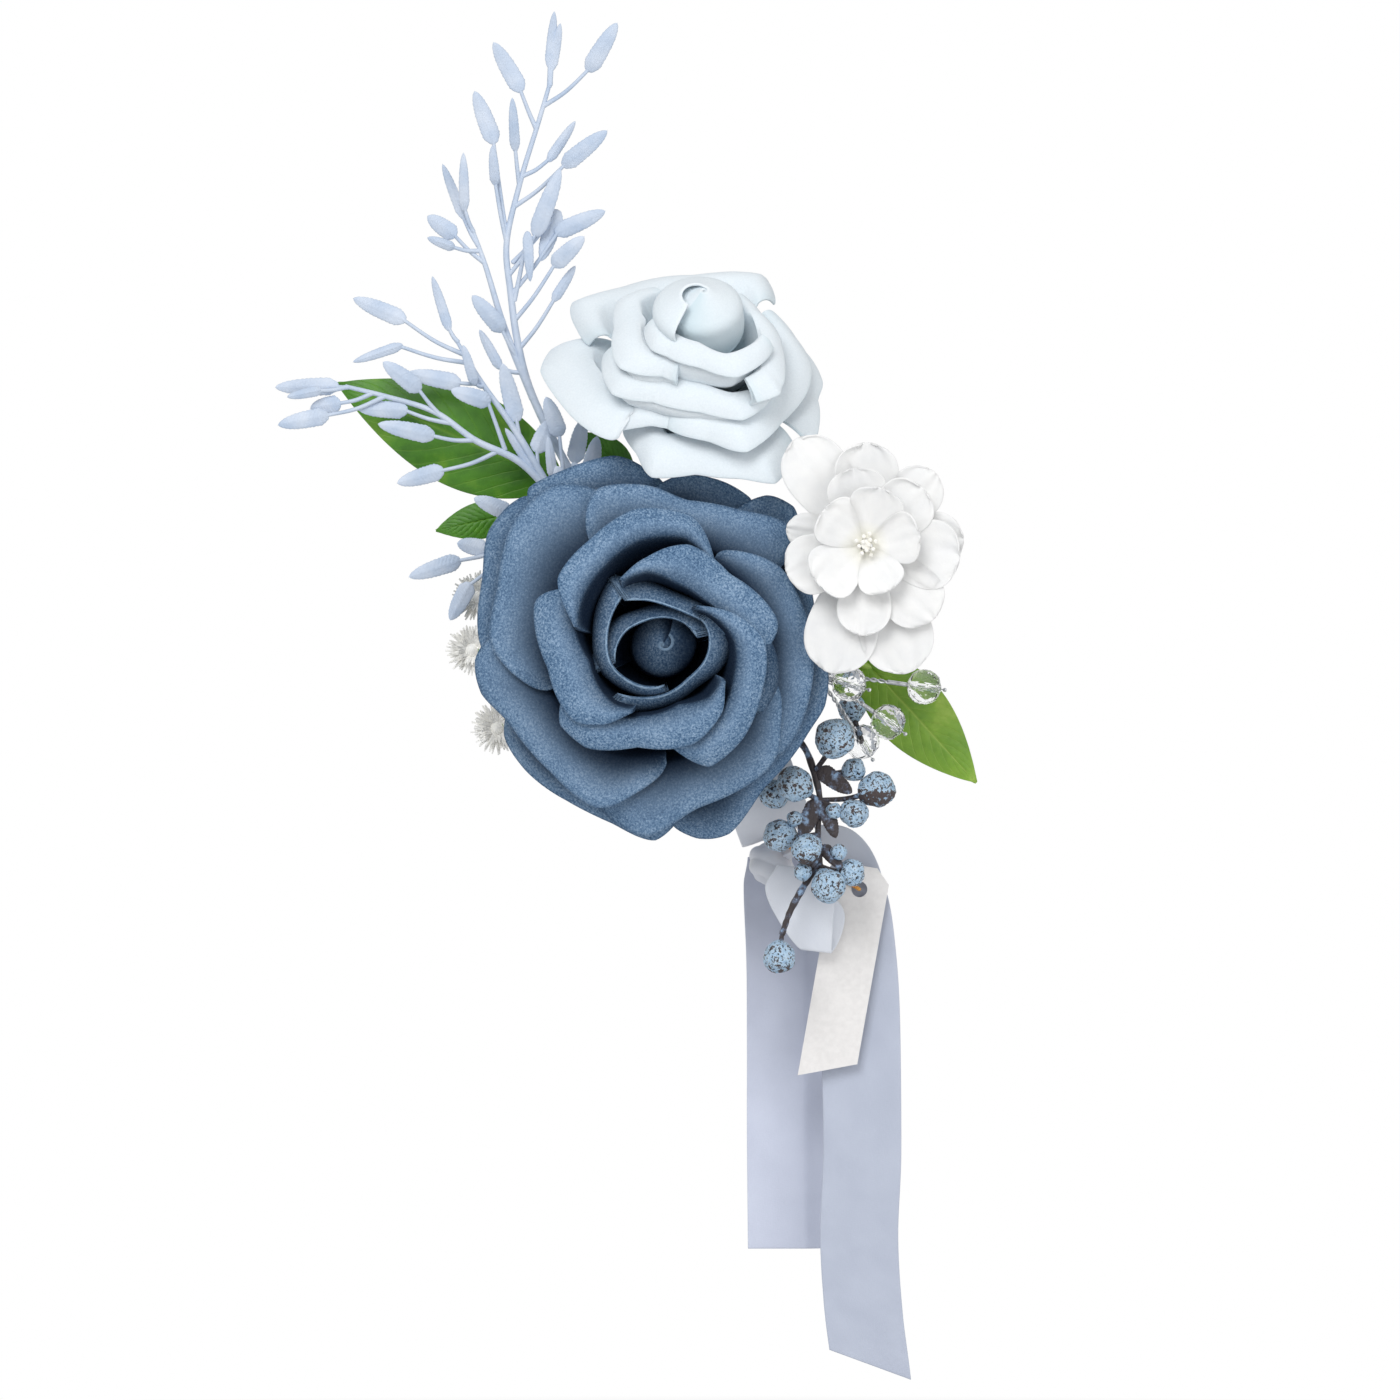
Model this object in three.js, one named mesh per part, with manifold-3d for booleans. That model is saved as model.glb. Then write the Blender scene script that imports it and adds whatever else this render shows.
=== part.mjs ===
// Wrist corsage: two foam roses, silk blossoms, leaves, plastic sprigs, berries and crystals on a felt
// pad, tied round the wrist with a satin ribbon that hangs in two tails and carries a card tag.
// Millimetres, +Z up, seen from -Y. The origin lies on the axis of the wrist, under the band.
import * as THREE from "three";
import { mergeVertices } from "three/addons/utils/BufferGeometryUtils.js";
import Module from "manifold-3d";

const wasm = await Module();
wasm.setup();

// Driving dimensions
const photoSpan = 294.7; // what the photograph's width spans at the corsage
const photoWidthPixels = 1400;
const wristPixel = [732, 708]; // where the wrist's axis is in the photograph
const seat = 0.3; // gap between pieces that touch
const foam = 1; // thickness of the foam petals
const ribbon = 0.6; // thickness of the doubled satin ribbon
const ribbonWidth = 16;
const wristAngle = THREE.MathUtils.degToRad(20);

// Wrist band and pad
const bandHalfWidth = 28.3;
const bandFrontDepth = 22;
const bandBackDepth = 20.6;
const bandFlatLow = 6;
const bandFlatHigh = 22;
const padThickness = 1.2;
const lowerPadRadius = 12;
const lowerPadOffset = 8;
const upperPadRadius = 22;
const upperPadX = -9;
const upperPadZ = 13;
const padPixel = [689.2, 646.2]; // the upper pad's middle in the photograph, and a radius to the right of it
const padRimPixel = [793.7, 646.2];

// Blue rose
const roseRadius = 37.5;
const roseX = -16.2;
const roseZ = 12.2;
const coreFoot = 5;
const coreFootRadius = 6;
const budRadius = 2.2;
const blueBudShare = 0.088; // the rolled bud's bulge, as a share of the rose's radius
const blueHeightShare = 0.827;

// Pale rose
const paleRadius = 29;
const paleX = -7.5;
const paleZ = 63.4;
const palePixel = [696.4, 406.8]; // its middle in the photograph, and a radius to the right of it
const paleRimPixel = [834.2, 406.8];
const paleDepth = 28;
const paleAngle = THREE.MathUtils.degToRad(45); // how far it looks up
const paleBudShare = 0.262;
const paleHeightShare = 1.19;

// Stems, leaves and sprigs
const flowerStem = 1.5; // radius
const blossomStem = 1.05;
const leafStem = 0.8;
const sprigStem = 0.8;
const sprigTwig = 0.4;
const leafletWidth = 3.4;
const leafletThickness = 1.3;
const tallSprigDepth = 21.5;
const leftSprigDepth = 26.5;
const leafletSpread = 3;
const leafThickness = 0.5;
const leafDepth = 17;
const rightLeafDepth = 21;

// Blossoms and florets
const silk = 0.5; // thickness of the stiffened fabric
const blossomCup = 3;
const blossomPixel = [865, 546];
const innerBlossomCup = 5;
const backBlossomCup = 2;
const blossomTuck = 0.6; // how far the hindmost petals lie behind the crest of the blue rose's outer petals
const stamenRadius = 4.5;
const stamenHeight = 4.5; // of the cluster's middle over the petals' foot
const floretRadius = 5.5;
const floretHeart = 1.6;
const floretDepth = 28;

// Berries and crystals
const berryStem = 0.8;
const berryTwig = 0.5;
const berryRise = 6; // of the berries' stems in front of the right leaf
const wireRadius = 0.35;
const wireStop = 0.8;
const beadRadius = 3.8;
const beadBore = 0.75;
const crystalRise = 4; // of the crystals in front of the berries' stems

// Ribbon knot, loop and tails
const knotRadius = 5;
const knotAlong = -3.5;
const knotDepth = 4;
const knotStrand = 1.2; // radius of the gathered ribbon between knot and long tail
const tailRelease = 13; // width of a tail at the knot
const longTailDepth = 11;
const creaseDepth = 2.2; // how far the short tail's right edge is folded back
const loopWidth = 11;
const loopFrontDepth = 19.5;
const loopBackDepth = 16;

// Card tag
const tagWidth = 12;
const tagLength = 46; // of its longer side
const tagSlant = 4.5; // how far its bottom edge rises to the right
const tagThickness = 0.6;
const tagCorner = 3;
const tagHole = 1.7;
const tagHoleInset = 5;
const tagDepth = 13.6;
const tagAngle = THREE.MathUtils.degToRad(10);
const threadRadius = 0.4;
const threadSlack = 0.8; // how loosely the thread goes round the ribbon

// Colours
const blueFoam = material(0x55728f, 0.9);
const paleFoam = material(0xe3eaef, 0.9);
const whiteSilk = material(0xf7f7f5, 0.8);
const stamenYellow = material(0xf1efdc, 0.8);
const leafGreen = material(0x3f7a28, 0.55);
const sprigBlue = material(0xbecbe1, 0.6);
const berryBlue = material(0x8fa9cc, 0.6);
const crystalClear = material(0xf2f4f6, 0.05);
const wireSilver = material(0xb9bcc0, 0.3, 1);
const satinBlue = material(0xbac1d7, 0.45);
const cardWhite = material(0xefedea, 0.8);
const threadGold = material(0xc98a3c, 0.6);
const feltWhite = material(0xe9e9e6, 0.95);

function material(color, roughness, metalness = 0) {
  return new THREE.MeshStandardMaterial({ color, roughness, metalness });
}

// A point of the photograph, at a depth in front of the wrist's axis.
function place(x, y, depth) {
  const scale = photoSpan / photoWidthPixels;
  return new THREE.Vector3((x - wristPixel[0]) * scale, -depth, (wristPixel[1] - y) * scale);
}

function solidOf(geometry) {
  const plain = geometry.clone();
  plain.deleteAttribute("normal");
  plain.deleteAttribute("uv");
  const merged = mergeVertices(plain, 1e-4);
  const vertProperties = merged.attributes.position.array;
  const triVerts = new Uint32Array(merged.index.array);
  return new wasm.Manifold(new wasm.Mesh({ numProp: 3, vertProperties, triVerts }));
}

function geometryOf(solid) {
  const mesh = solid.getMesh();
  const geometry = new THREE.BufferGeometry();
  geometry.setAttribute("position", new THREE.BufferAttribute(mesh.vertProperties, 3));
  geometry.setIndex(new THREE.BufferAttribute(mesh.triVerts, 1));
  geometry.computeVertexNormals();
  return geometry;
}

function join(geometries) {
  return geometryOf(geometries.map(solidOf).reduce((whole, piece) => whole.add(piece)));
}

function meshOf(name, geometry, finish) {
  const mesh = new THREE.Mesh(geometry, finish);
  mesh.name = name;
  return mesh;
}

// A closed sheet of even thickness along surface(u, v). Where it is a ring, u runs all the way round.
function sheet(columns, rows, thickness, surface, ring = false) {
  const positions = [];
  const index = [];
  const nudge = 1e-4;
  const across = ring ? columns : columns + 1;
  const sideSize = across * (rows + 1);
  for (const side of [1, -1]) {
    for (let i = 0; i < across; i += 1) {
      for (let j = 0; j <= rows; j += 1) {
        const u = i / columns;
        const v = j / rows;
        const alongU = surface(u + nudge, v).sub(surface(u - nudge, v));
        const alongV = surface(u, v + nudge).sub(surface(u, v - nudge));
        const normal = alongU.cross(alongV).normalize();
        const point = surface(u, v).addScaledVector(normal, (side * thickness) / 2);
        positions.push(point.x, point.y, point.z);
      }
    }
  }
  const at = (side, i, j) => side * sideSize + (i % across) * (rows + 1) + j;
  const quad = (a, b, c, d) => index.push(a, b, c, a, c, d);
  for (let i = 0; i < columns; i += 1) {
    for (let j = 0; j < rows; j += 1) {
      quad(at(0, i, j), at(0, i + 1, j), at(0, i + 1, j + 1), at(0, i, j + 1));
      quad(at(1, i, j), at(1, i, j + 1), at(1, i + 1, j + 1), at(1, i + 1, j));
    }
    quad(at(1, i, 0), at(1, i + 1, 0), at(0, i + 1, 0), at(0, i, 0));
    quad(at(0, i, rows), at(0, i + 1, rows), at(1, i + 1, rows), at(1, i, rows));
  }
  for (let j = 0; j < rows && !ring; j += 1) {
    quad(at(0, 0, j), at(0, 0, j + 1), at(1, 0, j + 1), at(1, 0, j));
    quad(at(1, columns, j), at(1, columns, j + 1), at(0, columns, j + 1), at(0, columns, j));
  }
  const geometry = new THREE.BufferGeometry();
  geometry.setAttribute("position", new THREE.Float32BufferAttribute(positions, 3));
  geometry.setIndex(index);
  geometry.computeVertexNormals();
  return geometry;
}

// A round rod along points, closed at both ends.
function rod(points, radius, sides = 8, steps = 2 * (points.length - 1)) {
  const curve = new THREE.CatmullRomCurve3(points, false, "centripetal");
  const section = new THREE.Shape();
  for (let i = 0; i < sides; i += 1) {
    const angle = (2 * Math.PI * i) / sides;
    const move = i ? "lineTo" : "moveTo";
    section[move](radius * Math.cos(angle), radius * Math.sin(angle));
  }
  section.closePath();
  return new THREE.ExtrudeGeometry(section, { steps, extrudePath: curve, bevelEnabled: false });
}

// The value of a table's column at share u of its rows, on a smooth curve.
function smooth(rows, column, u) {
  const along = Math.min(Math.max(u, 0), 1) * (rows.length - 1);
  const i = Math.min(Math.floor(along), rows.length - 2);
  const t = along - i;
  const value = (k) => rows[Math.min(Math.max(k, 0), rows.length - 1)][column];
  const [a, b, c, d] = [value(i - 1), value(i), value(i + 1), value(i + 2)];
  const bend = 2 * a - 5 * b + 4 * c - d;
  return b + (t * (c - a + t * (bend + t * (3 * (b - c) + d - a)))) / 2;
}

function bend(a, b, c, t) {
  return (1 - t) * (1 - t) * a + 2 * t * (1 - t) * b + t * t * c;
}

// Foam roses. A ring's sizes are shares of the rose's radius, and its feet follow from the foam. The blue
// rose's rings are pinwheels: a petal starts inside the one before it and ends outside the next.
const blueRingShares = [
  ring("wrap", 0.373, 0.827, 0.02, 0.004, 0.008, 0.25),
  ring("inner", 0.32, 0.88, 0.03, 0.004, 0.008, 1),
  ring("middle", 0.213, 0.987, 0.16, 0.027, 0.107, 1),
  ring("outer", 0.107, 0.667, 0.12, 0.027, 0.15, 1),
  ring("last", 0.027, 0.373, 0.1, 0.04, 0.13, 1),
];
const paleRingShares = [
  ring("inner", 0.42, 0.98, 0, 0.09, 0.09, 0.2),
  ring("second", 0.34, 0.85, 0, 0.1, 0.1, 0.2),
  ring("third", 0.26, 0.69, 0, 0.11, 0.11, 0.2),
  ring("fourth", 0.18, 0.54, 0, 0.14, 0.14, 0.2),
  ring("outer", 0.1, 0.5, 0.16, 0.09, 0.18, 0.2),
  ring("last", 0.02, 0.3, 0, 0.13, 0.13, 0.2),
];

// A ring's shares: the height of its petals' feet, the height of their ridges and how far it falls along a
// petal, how far the lip drops at a petal's start and end, and how much its foot wanders outwards.
function ring(name, footShare, topShare, fallShare, dropStartShare, dropEndShare, growShare) {
  return { name, footShare, topShare, fallShare, dropStartShare, dropEndShare, growShare };
}

// How much further out a petal's foot ends than it starts, so that it clears the petals beside it.
function growOf(ringShares) {
  return 2 * (foam + seat) * ringShares.growShare;
}

// The radius at which each ring's petals are glued to the core, worked outwards from the bud.
function feetOf(rings) {
  const feet = {};
  let radius = budRadius + seat + foam / 2;
  rings.forEach((ringShares) => {
    feet[ringShares.name] = radius;
    radius += growOf(ringShares) + foam + seat;
  });
  return feet;
}

const wallShare = 0.85;
const lipShare = 0.6;
const wallRowShare = 0.5;
const petalRows = 6;
const mostPetalColumns = 8;

// How high a petal's ridge and its border lie at share u of its length.
function petalHeights(radius, ringShares, u) {
  const { topShare, fallShare, dropStartShare, dropEndShare } = ringShares;
  const top = radius * (topShare - fallShare * Math.max(u, 0) ** 1.5);
  const drop = radius * (dropStartShare + (dropEndShare - dropStartShare) * u);
  return [top, top - drop];
}

// One petal: stations of angle, ridge share and border share, from its start to its end.
function petal(radius, ringShares, foot, stationShares, columns, rows) {
  const surface = (u, v) => {
    const angle = THREE.MathUtils.degToRad(smooth(stationShares, 0, u));
    const ridge = radius * smooth(stationShares, 1, u);
    const border = radius * smooth(stationShares, 2, u);
    const base = foot + growOf(ringShares) * Math.min(Math.max(u, 0), 1);
    const [top, brink] = petalHeights(radius, ringShares, u);
    let reach;
    let height;
    if (v < wallRowShare) {
      const t = v / wallRowShare;
      reach = bend(base, base + wallShare * (ridge - base), ridge, t);
      height = bend(radius * ringShares.footShare, top, top, t);
    } else {
      const t = (v - wallRowShare) / (1 - wallRowShare);
      reach = bend(ridge, ridge + lipShare * (border - ridge), border, t);
      height = bend(top, top, brink, t);
    }
    return new THREE.Vector3(reach * Math.cos(angle), reach * Math.sin(angle), height);
  };
  return sheet(columns, rows, foam, surface);
}

// The core that the petals are glued to: a stepped cone with a tread under each ring.
function roseCore(radius, feet, rings, footRadius, footLength) {
  const points = [new THREE.Vector2(0, -footLength)];
  points.push(new THREE.Vector2(footRadius, -footLength));
  [...rings].reverse().forEach((ringShares) => {
    const foot = feet[ringShares.name];
    const tread = radius * ringShares.footShare - seat - foam / 2;
    points.push(new THREE.Vector2(foot + growOf(ringShares) + foam / 2, tread));
    points.push(new THREE.Vector2(foot - foam / 2 - seat, tread));
  });
  points.push(new THREE.Vector2(0, points.at(-1).y));
  return new THREE.LatheGeometry(points, 16).rotateX(Math.PI / 2);
}

// Profiles of the rolled buds: shares of the bud's foot and bulge, and of its height
const budFootShares = [
  [0, 0],
  [0.8, 0],
  [1, 0.12],
];
const budBulgeShares = [
  [0.8, 0.5],
  [1, 0.78],
  [0.67, 0.93],
  [0, 1],
];

function roseBud(bulge, height, foot) {
  const rise = height - foot;
  const points = budFootShares.map(([x, z]) => new THREE.Vector2(x * budRadius, foot + z * rise));
  budBulgeShares.forEach(([x, z]) => points.push(new THREE.Vector2(x * bulge, foot + z * rise)));
  return new THREE.LatheGeometry(points, 12).rotateX(Math.PI / 2);
}

// Blue rose: rows of angle in degrees, ridge share and border share of the radius
const bluePetalShares = [
  // wrap
  [
    [
      [185, 0.225, 0.232],
      [149, 0.203, 0.21],
      [103, 0.152, 0.16],
      [65, 0.165, 0.172],
      [35, 0.18, 0.187],
      [10, 0.188, 0.195],
    ],
  ],
  // inner
  [
    [
      [22, 0.237, 0.245],
      [-7, 0.26, 0.268],
      [-60, 0.232, 0.24],
      [-107, 0.278, 0.285],
      [-140, 0.3, 0.307],
    ],
    [
      [-95, 0.213, 0.22],
      [-130, 0.25, 0.258],
      [-160, 0.267, 0.275],
      [-198, 0.301, 0.31],
      [-222, 0.335, 0.343],
      [-251, 0.345, 0.353],
    ],
    [
      [112, 0.27, 0.277],
      [70, 0.25, 0.257],
      [38, 0.256, 0.263],
      [20, 0.315, 0.322],
      [7, 0.355, 0.363],
      [-15, 0.345, 0.353],
      [-30, 0.32, 0.328],
      [-55, 0.275, 0.283],
    ],
  ],
  // middle
  [
    [
      [166, 0.453, 0.469],
      [143, 0.507, 0.672],
      [122, 0.55, 0.704],
      [98, 0.624, 0.787],
      [75, 0.655, 0.77],
      [54, 0.573, 0.613],
    ],
    [
      [118, 0.43, 0.443],
      [95, 0.44, 0.51],
      [72, 0.397, 0.615],
      [45, 0.395, 0.592],
      [14, 0.453, 0.7],
      [-14, 0.533, 0.64],
    ],
    [
      [48, 0.32, 0.333],
      [25, 0.4, 0.475],
      [5, 0.459, 0.611],
      [-20, 0.48, 0.637],
      [-45, 0.52, 0.693],
      [-65, 0.547, 0.72],
      [-82, 0.533, 0.637],
    ],
    [
      [-22, 0.427, 0.44],
      [-42, 0.413, 0.507],
      [-67, 0.344, 0.565],
      [-100, 0.387, 0.549],
      [-125, 0.453, 0.664],
      [-142, 0.507, 0.669],
      [-160, 0.533, 0.627],
    ],
    [
      [-108, 0.36, 0.373],
      [-126, 0.389, 0.515],
      [-140, 0.387, 0.603],
      [-170, 0.381, 0.603],
      [-200, 0.493, 0.712],
      [-218, 0.573, 0.709],
    ],
  ],
  // outer
  [
    [
      [201, 0.56, 0.659],
      [188, 0.587, 0.819],
      [176, 0.6, 0.925],
      [158, 0.613, 0.944],
      [138, 0.64, 1.069],
      [122, 0.653, 1.083],
      [113, 0.653, 0.989],
      [105, 0.64, 0.853],
    ],
    [
      [121, 0.613, 0.72],
      [116, 0.627, 0.867],
      [109, 0.64, 0.955],
      [92, 0.653, 0.915],
      [78, 0.653, 0.851],
      [59, 0.653, 0.912],
      [43, 0.653, 1.019],
      [33, 0.653, 0.88],
    ],
    [
      [57, 0.6, 0.651],
      [47, 0.613, 0.741],
      [33, 0.627, 0.837],
      [19, 0.64, 0.856],
      [-8, 0.64, 0.893],
      [-23, 0.653, 0.909],
      [-38, 0.653, 0.917],
      [-50, 0.64, 0.8],
    ],
    [
      [-12, 0.587, 0.661],
      [-19, 0.6, 0.736],
      [-31, 0.613, 0.821],
      [-45, 0.64, 0.915],
      [-75, 0.64, 0.915],
      [-92, 0.653, 1.045],
      [-103, 0.653, 0.992],
      [-112, 0.64, 0.88],
    ],
    [
      [-84, 0.587, 0.651],
      [-97, 0.613, 0.8],
      [-110, 0.64, 0.939],
      [-131, 0.64, 0.896],
      [-153, 0.64, 0.907],
      [-166, 0.653, 1],
      [-177, 0.653, 1.003],
      [-186, 0.64, 0.907],
    ],
  ],
  // last
  [
    [
      [186, 0.773, 0.907],
      [177, 0.8, 0.981],
      [157, 0.8, 1.048],
      [144, 0.827, 1.147],
      [131, 0.827, 1.133],
      [122, 0.8, 0.96],
    ],
    [
      [133, 0.787, 0.987],
      [128, 0.8, 1.147],
      [117, 0.827, 1.128],
      [102, 0.827, 1.109],
      [92, 0.827, 1],
      [86, 0.8, 0.907],
    ],
    [
      [92, 0.773, 0.88],
      [81, 0.8, 0.995],
      [70, 0.8, 1.013],
      [58, 0.813, 1],
      [52, 0.8, 0.88],
    ],
    [
      [60, 0.773, 0.907],
      [54, 0.8, 1.067],
      [46, 0.827, 1.115],
      [38, 0.827, 1.04],
      [20, 0.8, 0.933],
      [5, 0.8, 0.907],
    ],
    [
      [8, 0.773, 0.88],
      [-7, 0.8, 0.973],
      [-18, 0.8, 1],
      [-29, 0.813, 0.971],
      [-52, 0.813, 0.984],
      [-68, 0.827, 1.109],
      [-77, 0.827, 1.08],
      [-86, 0.8, 0.96],
    ],
    [
      [-80, 0.773, 0.907],
      [-90, 0.813, 1.067],
      [-104, 0.827, 0.995],
      [-120, 0.813, 0.973],
      [-137, 0.827, 0.987],
      [-150, 0.813, 0.968],
      [-158, 0.8, 0.88],
    ],
  ],
];

// Pale rose: pixels along each petal's border, clockwise, with the width of its lip in pixels
const palePetalPixels = [
  // inner
  [
    [
      [772, 350, 8],
      [766, 361, 16],
      [736, 380, 24],
      [700, 370, 24],
      [668, 359, 22],
      [652, 352, 18],
      [646, 330, 10],
    ],
  ],
  // second
  [
    [
      [676, 384, 8],
      [662, 378, 20],
      [620, 370, 34],
      [615, 331, 30],
      [618, 303, 24],
      [650, 292, 10],
    ],
    [
      [744, 300, 8],
      [762, 318, 16],
      [782, 352, 24],
      [783, 385, 24],
      [778, 397, 14],
      [756, 405, 6],
    ],
  ],
  // third
  [
    [
      [770, 398, 8],
      [764, 408, 14],
      [742, 422, 26],
      [700, 414, 30],
      [654, 404, 30],
      [613, 396, 26],
      [605, 356, 12],
    ],
  ],
  // fourth
  [
    [
      [776, 318, 8],
      [796, 341, 20],
      [810, 365, 28],
      [806, 394, 34],
      [781, 424, 38],
      [746, 454, 40],
      [714, 445, 30],
      [694, 439, 12],
    ],
    [
      [590, 346, 8],
      [578, 330, 24],
      [572, 304, 34],
      [620, 289, 34],
      [692, 278, 30],
      [736, 277, 26],
      [762, 284, 10],
    ],
  ],
  // outer
  [
    [
      [684, 431, 10],
      [652, 427, 24],
      [623, 432, 30],
      [609, 441, 40],
      [560, 403, 48],
      [541, 372, 52],
      [552, 350, 44],
      [580, 348, 20],
    ],
  ],
  // last
  [
    [
      [794, 448, 16],
      [788, 468, 34],
      [775, 485, 46],
      [740, 480, 46],
      [696, 476, 44],
      [652, 479, 44],
      [638, 456, 34],
      [624, 432, 16],
    ],
    [
      [802, 350, 16],
      [822, 383, 34],
      [817, 402, 36],
      [816, 440, 44],
      [811, 450, 30],
    ],
  ],
];

// A petal's stations in the rose's own plane, in shares of its radius, from the pixels of its border.
function paleStations(borderPixels, ringShares) {
  const radiusPixels = paleRimPixel[0] - palePixel[0];
  let turned = Infinity;
  return borderPixels.map(([x, y, lip], i) => {
    const brinkShare = petalHeights(1, ringShares, i / (borderPixels.length - 1))[1];
    const acrossShare = (x - palePixel[0]) / radiusPixels;
    const riseShare = (palePixel[1] - y) / radiusPixels;
    const upShare = (riseShare - brinkShare * Math.sin(paleAngle)) / Math.cos(paleAngle);
    let angle = THREE.MathUtils.radToDeg(Math.atan2(upShare, acrossShare));
    while (angle > turned) angle -= 360;
    turned = angle;
    const borderShare = Math.hypot(acrossShare, upShare);
    return [angle, borderShare - lip / radiusPixels, borderShare];
  });
}

// A rose's core, bud and petals, from stations of angle, ridge share and border share for each petal.
function rosePieces(rose) {
  const { prefix, radius, rings, stations, bulge, height, finish, footRadius, footLength } = rose;
  const group = new THREE.Group();
  const feet = feetOf(rings);
  const budFoot = radius * rings[0].footShare - foam / 2 + seat;
  group.add(meshOf(prefix + "_core", roseCore(radius, feet, rings, footRadius, footLength), leafGreen));
  group.add(meshOf(prefix + "_bud", roseBud(bulge, height, budFoot), finish));
  rings.forEach((ringShares, level) => {
    const { name } = ringShares;
    stations[level].forEach((stationShares, i) => {
      const columns = Math.min(stationShares.length + 1, mostPetalColumns);
      const shape = petal(radius, ringShares, feet[name], stationShares, columns, petalRows);
      group.add(meshOf(prefix + "_" + name + "_petal_" + (i + 1), shape, finish));
    });
  });
  return group;
}

// Depths that follow from the layers of pad and band
const lowerPadDepth = bandFrontDepth - ribbon / 2 - seat;
const upperPadDepth = bandFrontDepth + ribbon / 2 + seat;
const padFace = upperPadDepth + padThickness;

// A point that lies a lift in front of the pad, from its pixel and the pad's own size.
function padPoint([x, y], lift) {
  const radiusPixels = padRimPixel[0] - padPixel[0];
  const acrossShare = (x - padPixel[0]) / radiusPixels;
  const upShare = (padPixel[1] - y) / radiusPixels;
  const across = upperPadX + acrossShare * upperPadRadius;
  const up = upperPadZ + upShare * upperPadRadius;
  return new THREE.Vector3(across, -(padFace + seat + lift), up);
}

function disc(radius, thickness, sides = 36) {
  return new THREE.CylinderGeometry(radius, radius, thickness, sides);
}

function padPieces() {
  const lower = meshOf("lower_felt_pad", disc(lowerPadRadius, padThickness), feltWhite);
  const x = -lowerPadOffset * Math.sin(wristAngle);
  const z = lowerPadOffset * Math.cos(wristAngle);
  lower.position.set(x, -lowerPadDepth + padThickness / 2, z);
  const upper = meshOf("upper_felt_pad", disc(upperPadRadius, padThickness), feltWhite);
  upper.position.set(upperPadX, -upperPadDepth - padThickness / 2, upperPadZ);
  return [lower, upper];
}

// The band's middle line, flat under the pad and oval round the rest of the wrist.
function bandLine() {
  const line = new THREE.Path();
  line.moveTo(-bandFlatLow, bandFrontDepth);
  line.lineTo(bandFlatHigh, bandFrontDepth);
  line.absellipse(bandFlatHigh, 0, bandHalfWidth - bandFlatHigh, bandFrontDepth, Math.PI / 2, 0, true);
  line.absellipse(0, 0, bandHalfWidth, bandBackDepth, 0, -Math.PI, true);
  line.absellipse(-bandFlatLow, 0, bandHalfWidth - bandFlatLow, bandFrontDepth, Math.PI, Math.PI / 2, true);
  return line;
}

function bandPiece() {
  const line = bandLine();
  const surface = (u, v) => {
    const point = line.getPointAt((u + 1) % 1);
    return new THREE.Vector3(point.x, point.y, ribbonWidth * (1 / 2 - v));
  };
  const band = meshOf("ribbon_wrist_band", sheet(40, 1, ribbon, surface, true), satinBlue);
  band.rotation.set(Math.PI, -(Math.PI / 2 + wristAngle), 0, "YXZ");
  return band;
}

// A point given across the wrist and along its axis.
function wristPoint(across, along, depth) {
  const x = along * Math.cos(wristAngle) - across * Math.sin(wristAngle);
  const z = along * Math.sin(wristAngle) + across * Math.cos(wristAngle);
  return new THREE.Vector3(x, -depth, z);
}

const knotAcross = -(bandHalfWidth + ribbon / 2 + seat + knotRadius);
const knotCentre = wristPoint(knotAcross, knotAlong, knotDepth);

const turnShare = 0.25; // how soon a strip has turned to face forward
const creaseShare = 0.75; // where across its width a strip is folded
const shortTailRows = 12;
const longTailRows = 16;
const loopRows = 16;

// A ribbon strip: its middle line, the direction across it at either end and its width along it.
function strip(points, widths, acrossStart, acrossEnd, rows, columns, fold = 0) {
  const line = new THREE.CatmullRomCurve3(points, false, "centripetal");
  const surface = (u, v) => {
    const share = Math.min(Math.max(v, 0), 1);
    const middle = line.getPoint(share);
    const overrun = line.getTangent(share).multiplyScalar((v - share) * line.getLength());
    const across = acrossStart.clone().lerp(acrossEnd, Math.min(share / turnShare, 1)).normalize();
    const width = smooth(widths, 0, share);
    const point = middle.add(overrun).addScaledVector(across, (u - 1 / 2) * width);
    point.y += (fold * Math.max(u - creaseShare, 0)) / (1 - creaseShare);
    return point;
  };
  return sheet(columns, rows, ribbon, surface);
}

const alongWrist = new THREE.Vector3(Math.cos(wristAngle), 0, Math.sin(wristAngle));
const sideways = new THREE.Vector3(1, 0, 0);

// Middle lines of the tails, as pixels of the photograph from the knot down
const shortTailPixels = [
  [776, 848],
  [781, 880],
  [784, 940],
  [785, 1040],
  [785, 1140],
  [786, 1253],
];
const longTailPixels = [
  [820, 838],
  [840, 852],
  [853, 890],
  [859, 960],
  [862, 1060],
  [863, 1160],
  [860, 1240],
  [864, 1310],
  [871, 1368],
];

function shortTail() {
  const depth = knotDepth - knotRadius - seat - ribbon;
  const points = shortTailPixels.map(([x, y]) => place(x, y, depth));
  const widths = [[tailRelease], [ribbonWidth], [ribbonWidth], [ribbonWidth], [ribbonWidth]];
  return strip(points, widths, alongWrist, sideways, shortTailRows, 4, creaseDepth);
}

function longTail() {
  const points = longTailPixels.map(([x, y]) => place(x, y, longTailDepth));
  const released = [[ribbonWidth], [ribbonWidth], [ribbonWidth], [ribbonWidth]];
  const widths = [[tailRelease / 2], [tailRelease], ...released];
  const start = points[0].clone().sub(knotCentre).setY(0).normalize();
  const upwards = new THREE.Vector3(-start.z, 0, start.x);
  return strip(points, widths, upwards, sideways, longTailRows, 3);
}

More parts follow.
